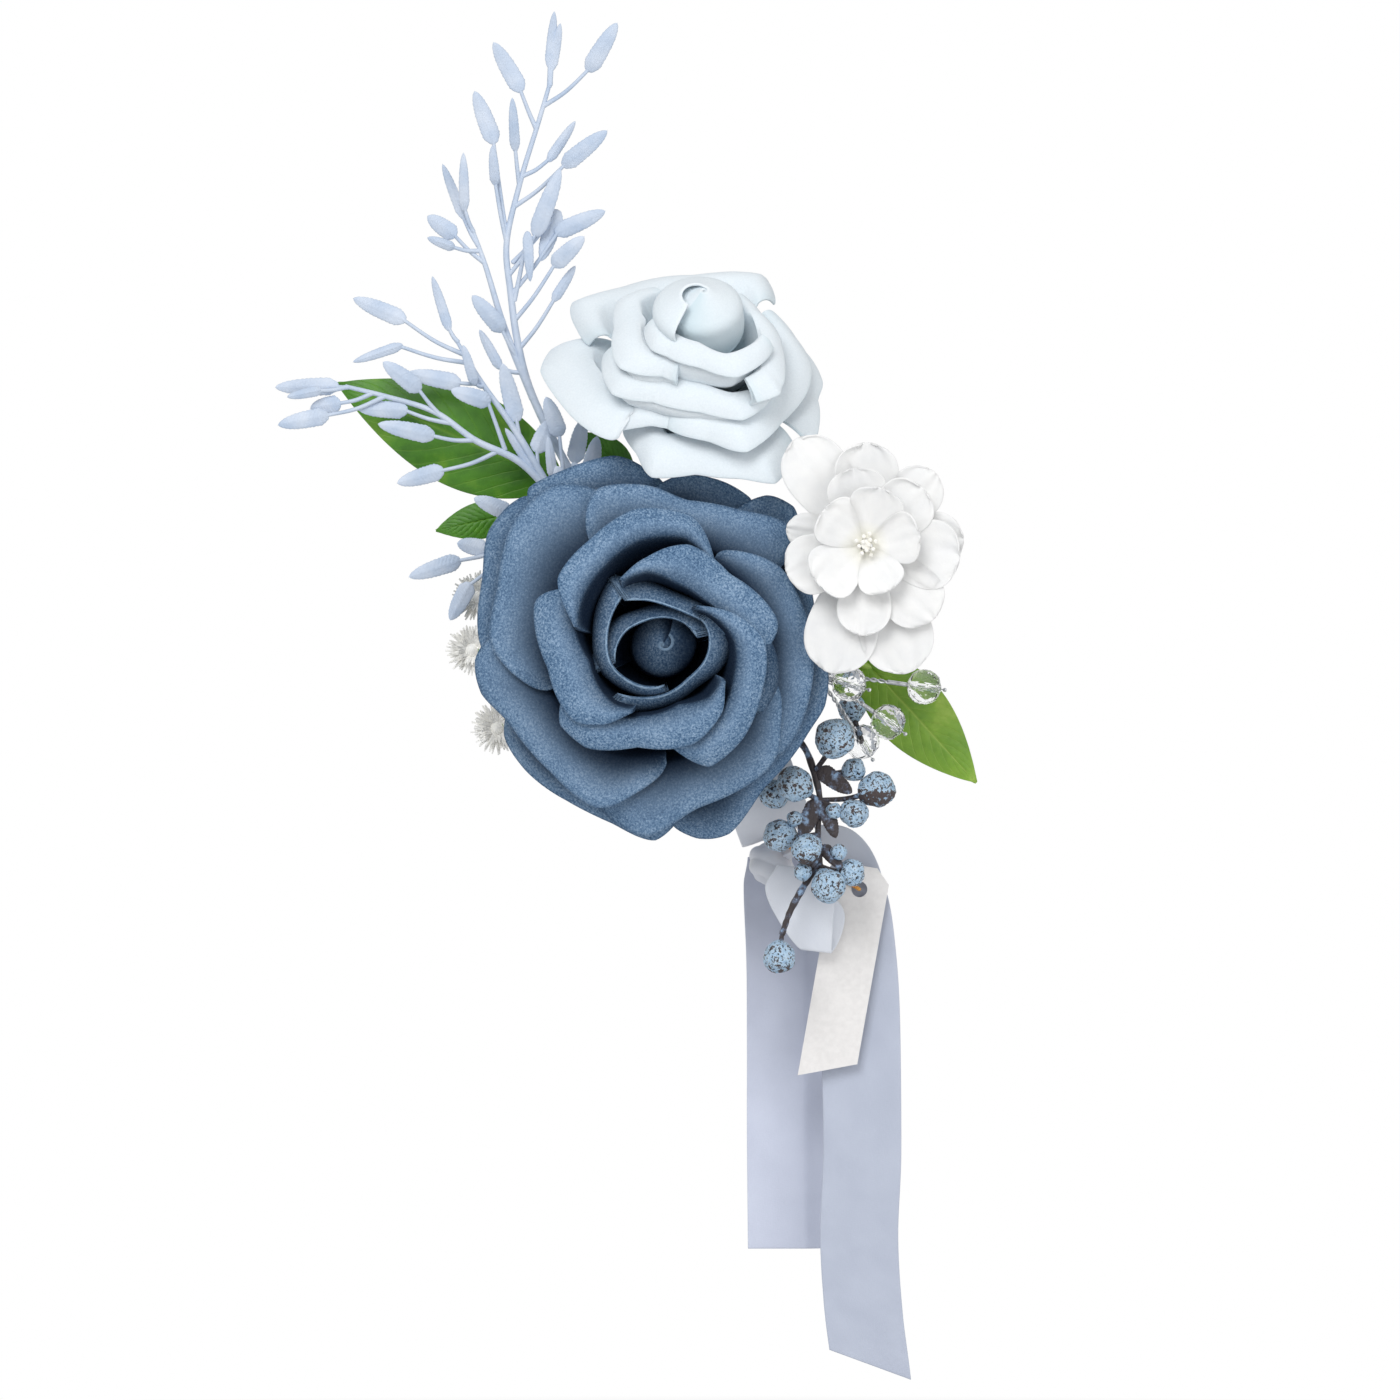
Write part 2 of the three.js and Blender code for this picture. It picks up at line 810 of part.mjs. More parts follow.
// The knot, with the gathered strand that the long tail goes on from.
function knotPiece() {
  const lump = new THREE.SphereGeometry(knotRadius, 14, 10);
  lump.translate(knotCentre.x, knotCentre.y, knotCentre.z);
  const end = place(longTailPixels[0][0], longTailPixels[0][1], longTailDepth);
  const reach = knotCentre.distanceTo(end) - 2 * seat;
  const stop = knotCentre.clone().lerp(end, reach / knotCentre.distanceTo(end));
  const strand = rod([knotCentre, knotCentre.clone().lerp(stop, 1 / 2), stop], knotStrand, 8, 4);
  return join([lump, strand]);
}

// The one loop of the bow, as a folded strip that leaves the knot and comes back to it.
const loopPixels = [
  [786, 880],
  [792, 905],
  [806, 932],
  [817, 949],
  [829, 934],
  [833, 908],
  [818, 884],
];

const loopDepthShares = [1, 1, 1, 0.5, 0, 0, 0]; // from the back of the loop to its front
const loopSlantShares = [1, 0.25, 0.35]; // the direction across the loop's strip

function loopPiece() {
  const points = loopPixels.map(([x, y], i) => {
    return place(x, y, loopBackDepth + loopDepthShares[i] * (loopFrontDepth - loopBackDepth));
  });
  const slant = new THREE.Vector3(...loopSlantShares).normalize();
  const widths = [[loopWidth / 2], [loopWidth], [loopWidth], [loopWidth / 2]];
  return strip(points, widths, slant, slant, loopRows, 4);
}

// Leaves: pixels of the stem from the pad, the blade's base and its tip, and the blade's width as a share
// of its length
const leafPixels = {
  leaf_left_upper: [
    [609, 604],
    [594, 592],
    [574, 555],
    [560, 482],
    [336, 382],
  ],
  leaf_left_lower: [
    [600, 628],
    [583, 620],
    [550, 580],
    [515, 512],
    [435, 530],
  ],
  leaf_middle: [
    [657, 562],
    [651, 538],
    [632, 470],
    [578, 432],
  ],
  leaf_right: [
    [782, 646],
    [800, 643],
    [860, 655],
    [977, 783],
  ],
};
const leafLiftShare = 0.06; // how far a blade arches, as a share of its length
const leafCupShare = 0.12; // how far its sides fall, as a share of its half width
const leafStemShare = 0.1; // how far the stem runs on under the blade
const leafWidthShares = { leaf_left_upper: 0.4, leaf_left_lower: 0.45, leaf_middle: 0.5, leaf_right: 0.42 };

// A leaf blade from base to tip, arched along its midrib, with its stem.
function leaf(name, depth) {
  const pixels = leafPixels[name];
  const widthShare = leafWidthShares[name];
  const stemPixels = pixels.slice(0, -2);
  const [base, tip] = pixels.slice(-2).map(([x, y]) => place(x, y, depth));
  const length = base.distanceTo(tip);
  const along = tip.clone().sub(base).normalize();
  const across = new THREE.Vector3(-along.z, 0, along.x);
  const lift = leafLiftShare * length;
  const surface = (u, v) => {
    const share = Math.min(Math.max(v, 0), 1);
    const half = (widthShare * length * (0.08 + Math.sin(Math.PI * share ** 0.8) ** 0.9)) / 2.16;
    const side = 2 * u - 1;
    const point = base.clone().addScaledVector(along, v * length).addScaledVector(across, half * side);
    point.y -= lift * Math.sin(Math.PI * v) - leafCupShare * half * side * side;
    return point;
  };
  const blade = sheet(4, 8, leafThickness, surface);
  const seatDepth = padFace + seat + leafStem;
  const stemPoints = stemPixels.map((pixel, i) => {
    return i < 2 ? padPoint(pixel, leafStem) : place(pixel[0], pixel[1], (seatDepth + depth) / 2);
  });
  stemPoints.push(base.clone().addScaledVector(along, leafStemShare * length));
  return join([blade, rod(stemPoints, leafStem, 6)]);
}

// A slim oblong leaflet from base to tip, with its profile in shares of its width and length.
const leafletShares = [
  [0, 0],
  [0.42, 0.25],
  [0.45, 0.75],
  [0, 1],
];

function leaflet(base, tip, width) {
  const length = base.distanceTo(tip);
  const profile = leafletShares.map(([x, y]) => new THREE.Vector2(x, y));
  const shape = new THREE.LatheGeometry(profile, 5);
  shape.scale(width, length, leafletThickness);
  const turn = new THREE.Matrix4();
  const up = tip.clone().sub(base).normalize();
  const side = new THREE.Vector3(up.z, 0, -up.x).normalize();
  turn.makeBasis(side, up, side.clone().cross(up));
  shape.applyMatrix4(turn);
  return shape.translate(base.x, base.y, base.z);
}

// Sprigs as pixels: main stems from the pad outwards, and leaflets as rows of twig start, base and tip
const tallStemPixels = [
  [
    [640, 574],
    [610, 535],
    [575, 480],
    [530, 390],
    [517, 340],
    [510, 290],
    [506, 245],
    [519, 184],
    [539, 118],
    [549, 84],
  ],
  [
    [533, 398],
    [505, 330],
    [485, 265],
    [472, 228],
  ],
];
const tallLeafletPixels = [
  [549, 86, 549, 66, 554, 10],
  [543, 105, 588, 70, 617, 22],
  [536, 128, 521, 90, 493, 41],
  [519, 184, 515, 150, 512, 97],
  [506, 235, 494, 142, 474, 90],
  [506, 240, 495, 184, 492, 145],
  [522, 175, 548, 160, 575, 120],
  [512, 207, 563, 165, 607, 130],
  [478, 245, 463, 217, 442, 163],
  [473, 231, 464, 210, 463, 152],
  [484, 262, 455, 235, 427, 215],
  [508, 275, 535, 235, 560, 168],
  [510, 295, 555, 232, 605, 210],
  [514, 320, 553, 265, 584, 236],
  [519, 348, 553, 300, 575, 265],
  [518, 360, 503, 330, 472, 295],
];
const leftStemPixels = [
  [
    [620, 590],
    [590, 548],
    [556, 500],
    [520, 462],
    [475, 440],
    [435, 412],
    [385, 396],
    [345, 386],
  ],
  [
    [556, 500],
    [515, 430],
    [480, 380],
    [455, 338],
  ],
  [
    [556, 500],
    [541, 526],
    [516, 543],
    [488, 550],
  ],
];
const leftLeafletPixels = [
  [458, 342, 449, 330, 432, 276],
  [484, 386, 475, 385, 463, 345],
  [465, 355, 405, 320, 353, 298],
  [470, 363, 402, 345, 353, 362],
  [480, 382, 460, 383, 407, 373],
  [440, 415, 420, 390, 383, 362],
  [348, 387, 338, 386, 275, 387],
  [385, 396, 328, 415, 278, 425],
  [450, 423, 407, 410, 357, 408],
  [475, 440, 434, 436, 378, 424],
  [500, 450, 443, 470, 397, 483],
  [538, 530, 510, 513, 474, 498],
  [492, 550, 486, 549, 457, 543],
  [514, 544, 460, 560, 409, 577],
  [520, 541, 470, 583, 450, 620],
];

function sprig(stemPixels, leafletPixels, sprigDepth) {
  const pieces = [];
  stemPixels.forEach((pixels, branch) => {
    const points = pixels.map((pixel, i) => {
      return i < 2 && branch < 1 ? padPoint(pixel, sprigStem) : place(pixel[0], pixel[1], sprigDepth);
    });
    pieces.push(rod(points, sprigStem, 5, points.length));
  });
  leafletPixels.forEach(([x, y, baseX, baseY, tipX, tipY], i) => {
    const swing = i % 2 ? leafletSpread : 0;
    const start = place(x, y, sprigDepth);
    const base = place(baseX, baseY, sprigDepth + swing / 2);
    const tip = place(tipX, tipY, sprigDepth + swing);
    pieces.push(rod([start, base.clone().lerp(tip, 0.1)], sprigTwig, 3, 1));
    pieces.push(leaflet(base, tip, leafletWidth));
  });
  return join(pieces);
}

const hubShare = 0.3; // how far out the notches between fabric petals reach
const ruffleShare = 0.05;
const lobePower = 0.42; // how blunt a fabric petal's end is
const columnsPerLobe = 8;

// Blossom layers: each petal's tip as a pixel, and its width in degrees round the blossom's middle
const blossomTipPixels = {
  back_blossom_petals: [
    [962, 540, 50],
    [934, 474, 46],
    [866, 444, 52],
    [794, 441, 44],
    [786, 528, 40],
    [829, 673, 46],
    [908, 673, 46],
  ],
  blossom_outer_petals: [
    [958, 560, 60],
    [922, 490, 60],
    [852, 470, 62],
    [786, 574, 58],
    [862, 636, 50],
    [932, 620, 52],
  ],
  blossom_inner_petals: [
    [918, 536, 74],
    [880, 490, 72],
    [822, 512, 74],
    [816, 584, 72],
    [886, 592, 72],
  ],
};

// The blossom's outline at an angle: the furthest of its petals there.
function blossomEdge(petals, angle) {
  return Math.max(...petals.map(({ length, middle, width }) => {
    const away = Math.abs(THREE.MathUtils.euclideanModulo(angle - middle + Math.PI, 2 * Math.PI) - Math.PI);
    const share = Math.max(Math.cos((Math.PI * away) / width), 0) ** lobePower;
    return length * (hubShare + (1 - hubShare) * share);
  }));
}

// A die-cut layer of fabric petals, cupped round its middle, with the hole that its stem passes through.
function petalLayer(tipPixels, cup) {
  const hole = blossomStem + seat;
  const centre = place(blossomPixel[0], blossomPixel[1], 0);
  const petals = tipPixels.map(([x, y, degrees]) => {
    const tip = place(x, y, 0).sub(centre);
    const width = THREE.MathUtils.degToRad(degrees);
    return { length: tip.length(), middle: Math.atan2(tip.z, tip.x), width };
  });
  const surface = (u, v) => {
    const angle = 2 * Math.PI * u;
    const edge = blossomEdge(petals, angle);
    const reach = hole + (edge - hole) * v;
    const height = cup * Math.max(v, 0) ** 1.6 + ruffleShare * edge * v * Math.cos(petals.length * angle);
    return new THREE.Vector3(reach * Math.cos(angle), reach * Math.sin(angle), height);
  };
  return sheet(columnsPerLobe * tipPixels.length, 2, silk, surface, true);
}

// Berry spray: rows of pixel, radius in pixels, depth step and twig start
const berryPixels = [
  [835, 738, 20, 6, 814, 772],
  [795, 784, 18, 3, 820, 800],
  [854, 770, 12, -1, 814, 772],
  [877, 790, 18, 0, 820, 800],
  [854, 813, 14, 2, 820, 800],
  [780, 836, 16, 0, 818, 834],
  [807, 849, 15, 4, 818, 834],
  [828, 886, 17, 3, 820, 866],
  [851, 873, 14, -1, 820, 866],
  [779, 957, 16, 1, 782, 935],
];
const berryStemPixels = [
  [
    [760, 706],
    [785, 728],
    [804, 747],
    [814, 772],
    [820, 800],
    [818, 834],
    [820, 866],
  ],
  [
    [820, 862],
    [806, 883],
    [790, 912],
    [782, 935],
  ],
];
const berryStep = 1;
const berryDepth = rightLeafDepth + berryRise;

function berrySpray() {
  const pieces = berryStemPixels.map((pixels, branch) => {
    const points = pixels.map((pixel, i) => {
      return i < 1 && branch < 1 ? padPoint(pixel, berryStem) : place(pixel[0], pixel[1], berryDepth);
    });
    return rod(points, berryStem, 6);
  });
  berryPixels.forEach(([x, y, size, step, fromX, fromY]) => {
    const centre = place(x, y, berryDepth + step * berryStep);
    const ball = new THREE.SphereGeometry((size * photoSpan) / photoWidthPixels, 7, 5);
    ball.translate(centre.x, centre.y, centre.z);
    pieces.push(ball);
    pieces.push(rod([place(fromX, fromY, berryDepth), centre], berryTwig, 4, 1));
  });
  return join(pieces);
}

// Crystals: rows of pixel, the pixel that its wire comes from and depth step
const crystalPixels = [
  [849, 684, 822, 676, 5],
  [924, 687, 888, 682, 0],
  [888, 722, 862, 704, 2],
  [862, 742, 846, 716, -5],
];
const crystalStep = 1;
const crystalDepth = berryDepth + crystalRise;
const crystalStemPixels = [
  [776, 678],
  [800, 672],
  [815, 672],
];

function crystalPieces() {
  const wires = [];
  const beads = [];
  const stem = crystalStemPixels.map((pixel, i) => {
    return i < 1 ? padPoint(pixel, wireRadius) : place(pixel[0], pixel[1], crystalDepth);
  });
  wires.push(rod(stem, wireRadius, 6));
  const root = stem.at(-1);
  crystalPixels.forEach(([x, y, fromX, fromY, step], i) => {
    const depth = crystalDepth + step * crystalStep;
    const centre = place(x, y, depth);
    const from = place(fromX, fromY, depth);
    const along = centre.clone().sub(from).normalize();
    const end = centre.clone().addScaledVector(along, beadRadius + seat + wireStop);
    if (from.distanceTo(root) > wireRadius) wires.push(rod([root, from], wireRadius, 5, 1));
    wires.push(rod([from, end], wireRadius, 5, 1));
    const stop = new THREE.SphereGeometry(wireStop, 6, 4);
    stop.translate(end.x, end.y, end.z);
    wires.push(stop);
    const bead = new THREE.Group();
    bead.position.copy(centre);
    bead.quaternion.setFromUnitVectors(new THREE.Vector3(0, 1, 0), along);
    bead.add(meshOf("crystal_bead_" + (i + 1), facetedBead(), crystalClear));
    beads.push(bead);
  });
  return [meshOf("crystal_wire", join(wires), wireSilver), ...beads];
}

const beadCutShare = 0.62; // radius of a bead's end face
const beadWaistShare = 0.35; // half the height of its widest ring of facets
const beadEndShare = 0.85; // half its length
const beadFacets = 10;

// A bead cut in flat rings of facets, with its bore.
function facetedBead() {
  const cut = beadCutShare * beadRadius;
  const waist = beadWaistShare * beadRadius;
  const end = beadEndShare * beadRadius;
  const points = [
    new THREE.Vector2(beadBore, -end),
    new THREE.Vector2(cut, -end),
    new THREE.Vector2(beadRadius, -waist),
    new THREE.Vector2(beadRadius, waist),
    new THREE.Vector2(cut, end),
    new THREE.Vector2(beadBore, end),
    new THREE.Vector2(beadBore, -end),
  ];
  return new THREE.LatheGeometry(points, beadFacets);
}

// The card tag, with clipped top corners, a slanting bottom edge and a punched hole at its group's origin.
function tagPiece() {
  const half = tagWidth / 2;
  const top = tagHoleInset;
  const bottom = tagHoleInset - tagLength;
  const outline = new THREE.Shape();
  outline.moveTo(-half, bottom);
  outline.lineTo(half, bottom + tagSlant);
  outline.lineTo(half, top - tagCorner);
  outline.lineTo(half - tagCorner, top);
  outline.lineTo(tagCorner - half, top);
  outline.lineTo(-half, top - tagCorner);
  outline.closePath();
  const hole = new THREE.Path();
  hole.absarc(0, 0, tagHole, 0, 2 * Math.PI, true);
  outline.holes.push(hole);
  const shape = new THREE.ExtrudeGeometry(outline, {
    depth: tagThickness,
    bevelEnabled: false,
    curveSegments: 8,
  });
  shape.translate(0, 0, -tagThickness / 2);
  const tag = meshOf("card_hang_tag", shape, cardWhite);
  tag.rotation.set(Math.PI / 2, tagAngle, 0, "YXZ");
  return tag;
}

// A closed round loop of thread along a closed curve.
function threadLoop(points, radius, steps, sides) {
  const curve = new THREE.CatmullRomCurve3(points, true, "centripetal");
  const frames = curve.computeFrenetFrames(steps, true);
  const positions = [];
  const index = [];
  for (let i = 0; i < steps; i += 1) {
    const centre = curve.getPointAt(i / steps);
    for (let j = 0; j < sides; j += 1) {
      const angle = (2 * Math.PI * j) / sides;
      const point = centre.clone();
      point.addScaledVector(frames.normals[i], radius * Math.cos(angle));
      point.addScaledVector(frames.binormals[i], radius * Math.sin(angle));
      positions.push(point.x, point.y, point.z);
    }
  }
  for (let i = 0; i < steps; i += 1) {
    for (let j = 0; j < sides; j += 1) {
      const next = (i + 1) % steps;
      const beside = (j + 1) % sides;
      const a = i * sides + j;
      const b = next * sides + j;
      const c = next * sides + beside;
      const d = i * sides + beside;
      index.push(a, d, c, a, c, b);
    }
  }
  const geometry = new THREE.BufferGeometry();
  geometry.setAttribute("position", new THREE.Float32BufferAttribute(positions, 3));
  geometry.setIndex(index);
  geometry.computeVertexNormals();
  return geometry;
}

const tagHolePixel = [860, 890];
const threadBowShare = 0.7; // how the thread's bow rounds off behind the ribbon
const threadSideShares = [0.3, 0.7]; // where its two sides run straight

// The loop of thread through the tag's hole and round the gathered ribbon over the long tail.
function threadPiece() {
  const hole = place(tagHolePixel[0], tagHolePixel[1], tagDepth);
  const end = place(longTailPixels[0][0], longTailPixels[0][1], longTailDepth);
  const tie = knotCentre.clone().lerp(end, 1 / 2);
  const along = tie.clone().setY(hole.y).sub(hole).normalize();
  const clear = knotStrand + threadRadius + threadSlack;
  const bow = threadBowShare * clear;
  const span = tie.clone().setY(hole.y).distanceTo(hole);
  const at = (reach, depth) => hole.clone().addScaledVector(along, reach).setY(-depth);
  const frontDepth = tagDepth + tagThickness + threadRadius;
  const backDepth = longTailDepth + ribbon / 2 + threadRadius + seat;
  const points = [
    at(0, tagDepth),
    at(2 * threadRadius, frontDepth),
    at(threadSideShares[0] * span, frontDepth),
    at(threadSideShares[1] * span, frontDepth),
    at(span, -tie.y + clear),
    at(span + bow, -tie.y + bow),
    at(span + clear, -tie.y),
    at(span + bow, -tie.y - bow),
    at(span, -tie.y - clear),
    at(span - clear, -tie.y - clear / 2),
    at(threadSideShares[1] * span, backDepth),
    at(threadSideShares[0] * span, backDepth),
    at(2 * threadRadius, backDepth),
  ];
  return threadLoop(points, threadRadius, 32, 5);
}

// Fringed florets: pixel of each one's heart and of its stem's start on the pad
const floretPixels = {
  floret_upper: [
    [472, 650],
    [590, 660],
  ],
  floret_lower: [
    [497, 728],
    [594, 692],
  ],
};

const fringeNotchShare = 0.72;
const fringeCupShare = 0.35;
const fringeBlades = 8;

// A small disc cut into a fringe, on its stem.
function floret(pixel, startPixel) {
  const centre = place(pixel[0], pixel[1], floretDepth);
  const surface = (u, v) => {
    const angle = 2 * Math.PI * u;
    const lobe = Math.abs(Math.cos((fringeBlades * angle) / 2));
    const edge = floretRadius * (fringeNotchShare + (1 - fringeNotchShare) * lobe);
    const reach = leafStem + (edge - leafStem) * v;
    const height = fringeCupShare * floretRadius * v * v;
    return new THREE.Vector3(reach * Math.cos(angle), -height, reach * Math.sin(angle));
  };
  const fringe = sheet(3 * fringeBlades, 1, silk, (u, v) => surface(1 - u, v), true);
  fringe.translate(centre.x, centre.y, centre.z);
  const heart = new THREE.SphereGeometry(floretHeart, 8, 6);
  heart.translate(centre.x, centre.y, centre.z);
  const start = padPoint(startPixel, leafStem);
  return join([fringe, heart, rod([start, start.clone().lerp(centre, 1 / 2), centre], leafStem, 6)]);
}

// The crest of the blue rose's outer petals, and the blossom's layers in front of it
const crestRing = blueRingShares.find(({ name }) => name === "outer");
const crestDepth = padFace + seat + coreFoot + roseRadius * crestRing.topShare;
const backBlossomDepth = crestDepth - blossomTuck;
const blossomDepth = backBlossomDepth + backBlossomCup + silk;

// The blossom's stem from the pad, with its depths as shares of the way from pad to petals
const blossomStemPixels = [
  [775, 612],
  [812, 590],
  [848, 562],
  [865, 546],
  [865, 546],
];
const blossomStemShares = [0, 0, 0.15, 0.55, 0.82];

// A rounded cluster of stamens with the stem that runs down to the pad.
function blossomCentre() {
  const position = place(blossomPixel[0], blossomPixel[1], blossomDepth);
  const heart = new THREE.SphereGeometry(stamenRadius, 12, 8);
  heart.scale(1, 1 / 2, 1);
  heart.translate(position.x, position.y - stamenHeight, position.z);
  const seatDepth = padFace + seat + blossomStem;
  const points = blossomStemPixels.map((pixel, i) => {
    const depth = seatDepth + blossomStemShares[i] * (blossomDepth - seatDepth);
    return i < 1 ? padPoint(pixel, blossomStem) : place(pixel[0], pixel[1], depth);
  });
  points.push(position.clone());
  points.push(new THREE.Vector3(position.x, position.y - stamenHeight, position.z));
  return join([heart, rod(points, blossomStem, 8)]);
}

// The pale rose's stem, from the pad up to its core
const paleStemPixels = [
  [690, 566],
  [692, 520],
  [694, 470],
  [696, 430],
];

const corsage = new THREE.Group();

function addPads() {
  padPieces().forEach((piece) => corsage.add(piece));
  corsage.add(bandPiece());
}

function addRoses() {
  const blue = rosePieces({
    prefix: "blue_rose",
    radius: roseRadius,
    rings: blueRingShares,
    stations: bluePetalShares,
    bulge: roseRadius * blueBudShare,
    height: roseRadius * blueHeightShare,
    finish: blueFoam,
    footRadius: coreFootRadius,
    footLength: coreFoot,
  });
  blue.position.set(roseX, -(padFace + seat + coreFoot), roseZ);
  blue.rotation.x = Math.PI / 2;
  corsage.add(blue);
  const paleStationShares = palePetalPixels.map((petals, level) => {
    return petals.map((borderPixels) => paleStations(borderPixels, paleRingShares[level]));
  });
  const pale = rosePieces({
    prefix: "pale_rose",
    radius: paleRadius,
    rings: paleRingShares,
    stations: paleStationShares,
    bulge: paleRadius * paleBudShare,
    height: paleRadius * paleHeightShare,
    finish: paleFoam,
    footRadius: 2 * flowerStem,
    footLength: flowerStem,
  });
  pale.position.set(paleX, -paleDepth, paleZ);
  pale.rotation.x = Math.PI / 2 - paleAngle;
  corsage.add(pale);
  addPaleStem(pale);
}

// The pale rose's core goes on into its stem, which runs down to the pad.
function addPaleStem(pale) {
  const core = pale.getObjectByName("pale_rose_core");
  pale.updateMatrixWorld(true);
  const cone = core.geometry.clone().applyMatrix4(core.matrixWorld);
  const seatDepth = padFace + seat + flowerStem;
  const points = paleStemPixels.map((pixel, i) => {
    return i < 1 ? padPoint(pixel, flowerStem) : place(pixel[0], pixel[1], seatDepth);
  });
  points.push(pale.position.clone());
  core.removeFromParent();
  corsage.add(meshOf(core.name, join([cone, rod(points, flowerStem)]), leafGreen));
}

function addRibbon() {
  corsage.add(meshOf("ribbon_knot", knotPiece(), satinBlue));
  corsage.add(meshOf("ribbon_bow_loop", loopPiece(), satinBlue));
  corsage.add(meshOf("ribbon_tail_short", shortTail(), satinBlue));
  corsage.add(meshOf("ribbon_tail_long", longTail(), satinBlue));
}

function addTag() {
  const tag = new THREE.Group();
  tag.position.copy(place(tagHolePixel[0], tagHolePixel[1], tagDepth));
  tag.add(tagPiece());
  corsage.add(tag);
  corsage.add(meshOf("tag_thread", threadPiece(), threadGold));
}

function addLeaves() {
  Object.keys(leafPixels).forEach((name) => {
    const depth = name === "leaf_right" ? rightLeafDepth : leafDepth;
    corsage.add(meshOf(name, leaf(name, depth), leafGreen));
  });
}

function addSprigs() {
  const tall = sprig(tallStemPixels, tallLeafletPixels, tallSprigDepth);
  const left = sprig(leftStemPixels, leftLeafletPixels, leftSprigDepth);
  corsage.add(meshOf("plastic_sprig_tall", tall, sprigBlue));
  corsage.add(meshOf("plastic_sprig_left", left, sprigBlue));
}

function addBlossoms() {
  const layers = [
    ["back_blossom_petals", backBlossomCup, backBlossomDepth],
    ["blossom_outer_petals", blossomCup, blossomDepth],
    ["blossom_inner_petals", innerBlossomCup, blossomDepth + 3 * silk],
  ];
  layers.forEach(([name, cup, depth]) => {
    const layer = meshOf(name, petalLayer(blossomTipPixels[name], cup), whiteSilk);
    layer.position.copy(place(blossomPixel[0], blossomPixel[1], depth));
    layer.rotation.x = Math.PI / 2;
    corsage.add(layer);
  });
  corsage.add(meshOf("blossom_centre", blossomCentre(), stamenYellow));
}

function addTrimmings() {
  Object.keys(floretPixels).forEach((name) => {
    corsage.add(meshOf(name, floret(...floretPixels[name]), whiteSilk));
  });
  corsage.add(meshOf("berry_spray", berrySpray(), berryBlue));
  crystalPieces().forEach((piece) => corsage.add(piece));
}

addPads();
addRoses();
addRibbon();
addTag();
addLeaves();
addSprigs();
addBlossoms();
addTrimmings();

export default corsage;
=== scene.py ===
import math

import bpy
import numpy as np
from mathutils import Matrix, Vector


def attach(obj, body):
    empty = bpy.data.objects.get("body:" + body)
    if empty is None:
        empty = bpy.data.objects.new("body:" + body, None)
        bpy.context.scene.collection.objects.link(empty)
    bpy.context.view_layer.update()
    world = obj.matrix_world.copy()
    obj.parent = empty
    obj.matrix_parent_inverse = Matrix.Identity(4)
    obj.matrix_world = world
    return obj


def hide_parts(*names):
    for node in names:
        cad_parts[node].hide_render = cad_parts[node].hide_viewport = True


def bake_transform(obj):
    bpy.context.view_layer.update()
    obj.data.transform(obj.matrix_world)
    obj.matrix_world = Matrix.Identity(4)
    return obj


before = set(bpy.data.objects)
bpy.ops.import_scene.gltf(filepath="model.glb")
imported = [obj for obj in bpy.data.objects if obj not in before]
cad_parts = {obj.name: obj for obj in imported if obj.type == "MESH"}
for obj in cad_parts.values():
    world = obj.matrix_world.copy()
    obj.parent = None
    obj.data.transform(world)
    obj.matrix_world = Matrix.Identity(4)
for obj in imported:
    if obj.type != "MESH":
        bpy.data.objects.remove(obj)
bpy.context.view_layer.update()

# The wrist corsage's looks: foam roses, silk blossoms, leaves, sprigs, berries, crystals, satin and card.
# Sizes are in millimetres until a mesh is made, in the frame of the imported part.

MM = 0.001

# The photograph: how far it spans, and the pixel that lies on the wrist's axis
PHOTO_SPAN = 294.7
PHOTO_PIXELS = 1400
WRIST_PIXEL = (732, 708)
SCALE = PHOTO_SPAN / PHOTO_PIXELS

# The gap left for glue, and the sheets' thickness
SEAT = 0.3
FOAM = 1.0
RIBBON = 0.6
PAD = 1.2

# The ribbon's oval round the wrist, flat in front, and the felt pads under and over it
RIBBON_WIDTH = 16.0
WRIST_ANGLE = math.radians(20)
BAND_HALF_WIDTH = 28.3
BAND_FRONT = 22.0
BAND_BACK = 20.6
BAND_FLAT_LOW = 6.0
BAND_FLAT_HIGH = 22.0
LOWER_PAD_RADIUS = 12.0
LOWER_PAD_OFFSET = 8.0
LOWER_PAD_DEPTH = BAND_FRONT - RIBBON / 2 - SEAT
UPPER_PAD_RADIUS = 22.0
UPPER_PAD_X = -9.0
UPPER_PAD_Z = 13.0
UPPER_PAD_DEPTH = BAND_FRONT + RIBBON / 2 + SEAT
PAD_FACE = UPPER_PAD_DEPTH + PAD


def place(x, y, depth):
    """A point of the photograph at a depth in front of the wrist's axis."""
    return np.array([(x - WRIST_PIXEL[0]) * SCALE, -depth, (WRIST_PIXEL[1] - y) * SCALE], float)


def stem_way(pixels, radius, on_pad, depth):
    """Points of a stem: the first few lie on the upper pad, the others at a depth."""
    seat_depth = PAD_FACE + SEAT + radius
    return [place(x, y, seat_depth if i < on_pad else depth) for i, (x, y) in enumerate(pixels)]


def unit(vector):
    return vector / np.maximum(np.linalg.norm(vector, axis=-1, keepdims=True), 1e-12)


def ease(x):
    x = np.clip(x, 0, 1)
    return x * x * (3 - 2 * x)


# Meshes

# How far a rod's blunt tip stands out, as a share of its radius
TIP_SHARE = 0.4


def smooth(values, u):
    """The value at share u of a row of values, on a smooth curve through them."""
    values = np.array(values, float)
    along = np.clip(u, 0, 1) * (len(values) - 1)
    i = np.minimum(along.astype(int), len(values) - 2)
    t = along - i
    a, b, c, d = (values[np.clip(i + k, 0, len(values) - 1)] for k in (-1, 0, 1, 2))
    return b + t * (c - a + t * (2 * a - 5 * b + 4 * c - d + t * (3 * (b - c) + d - a))) / 2


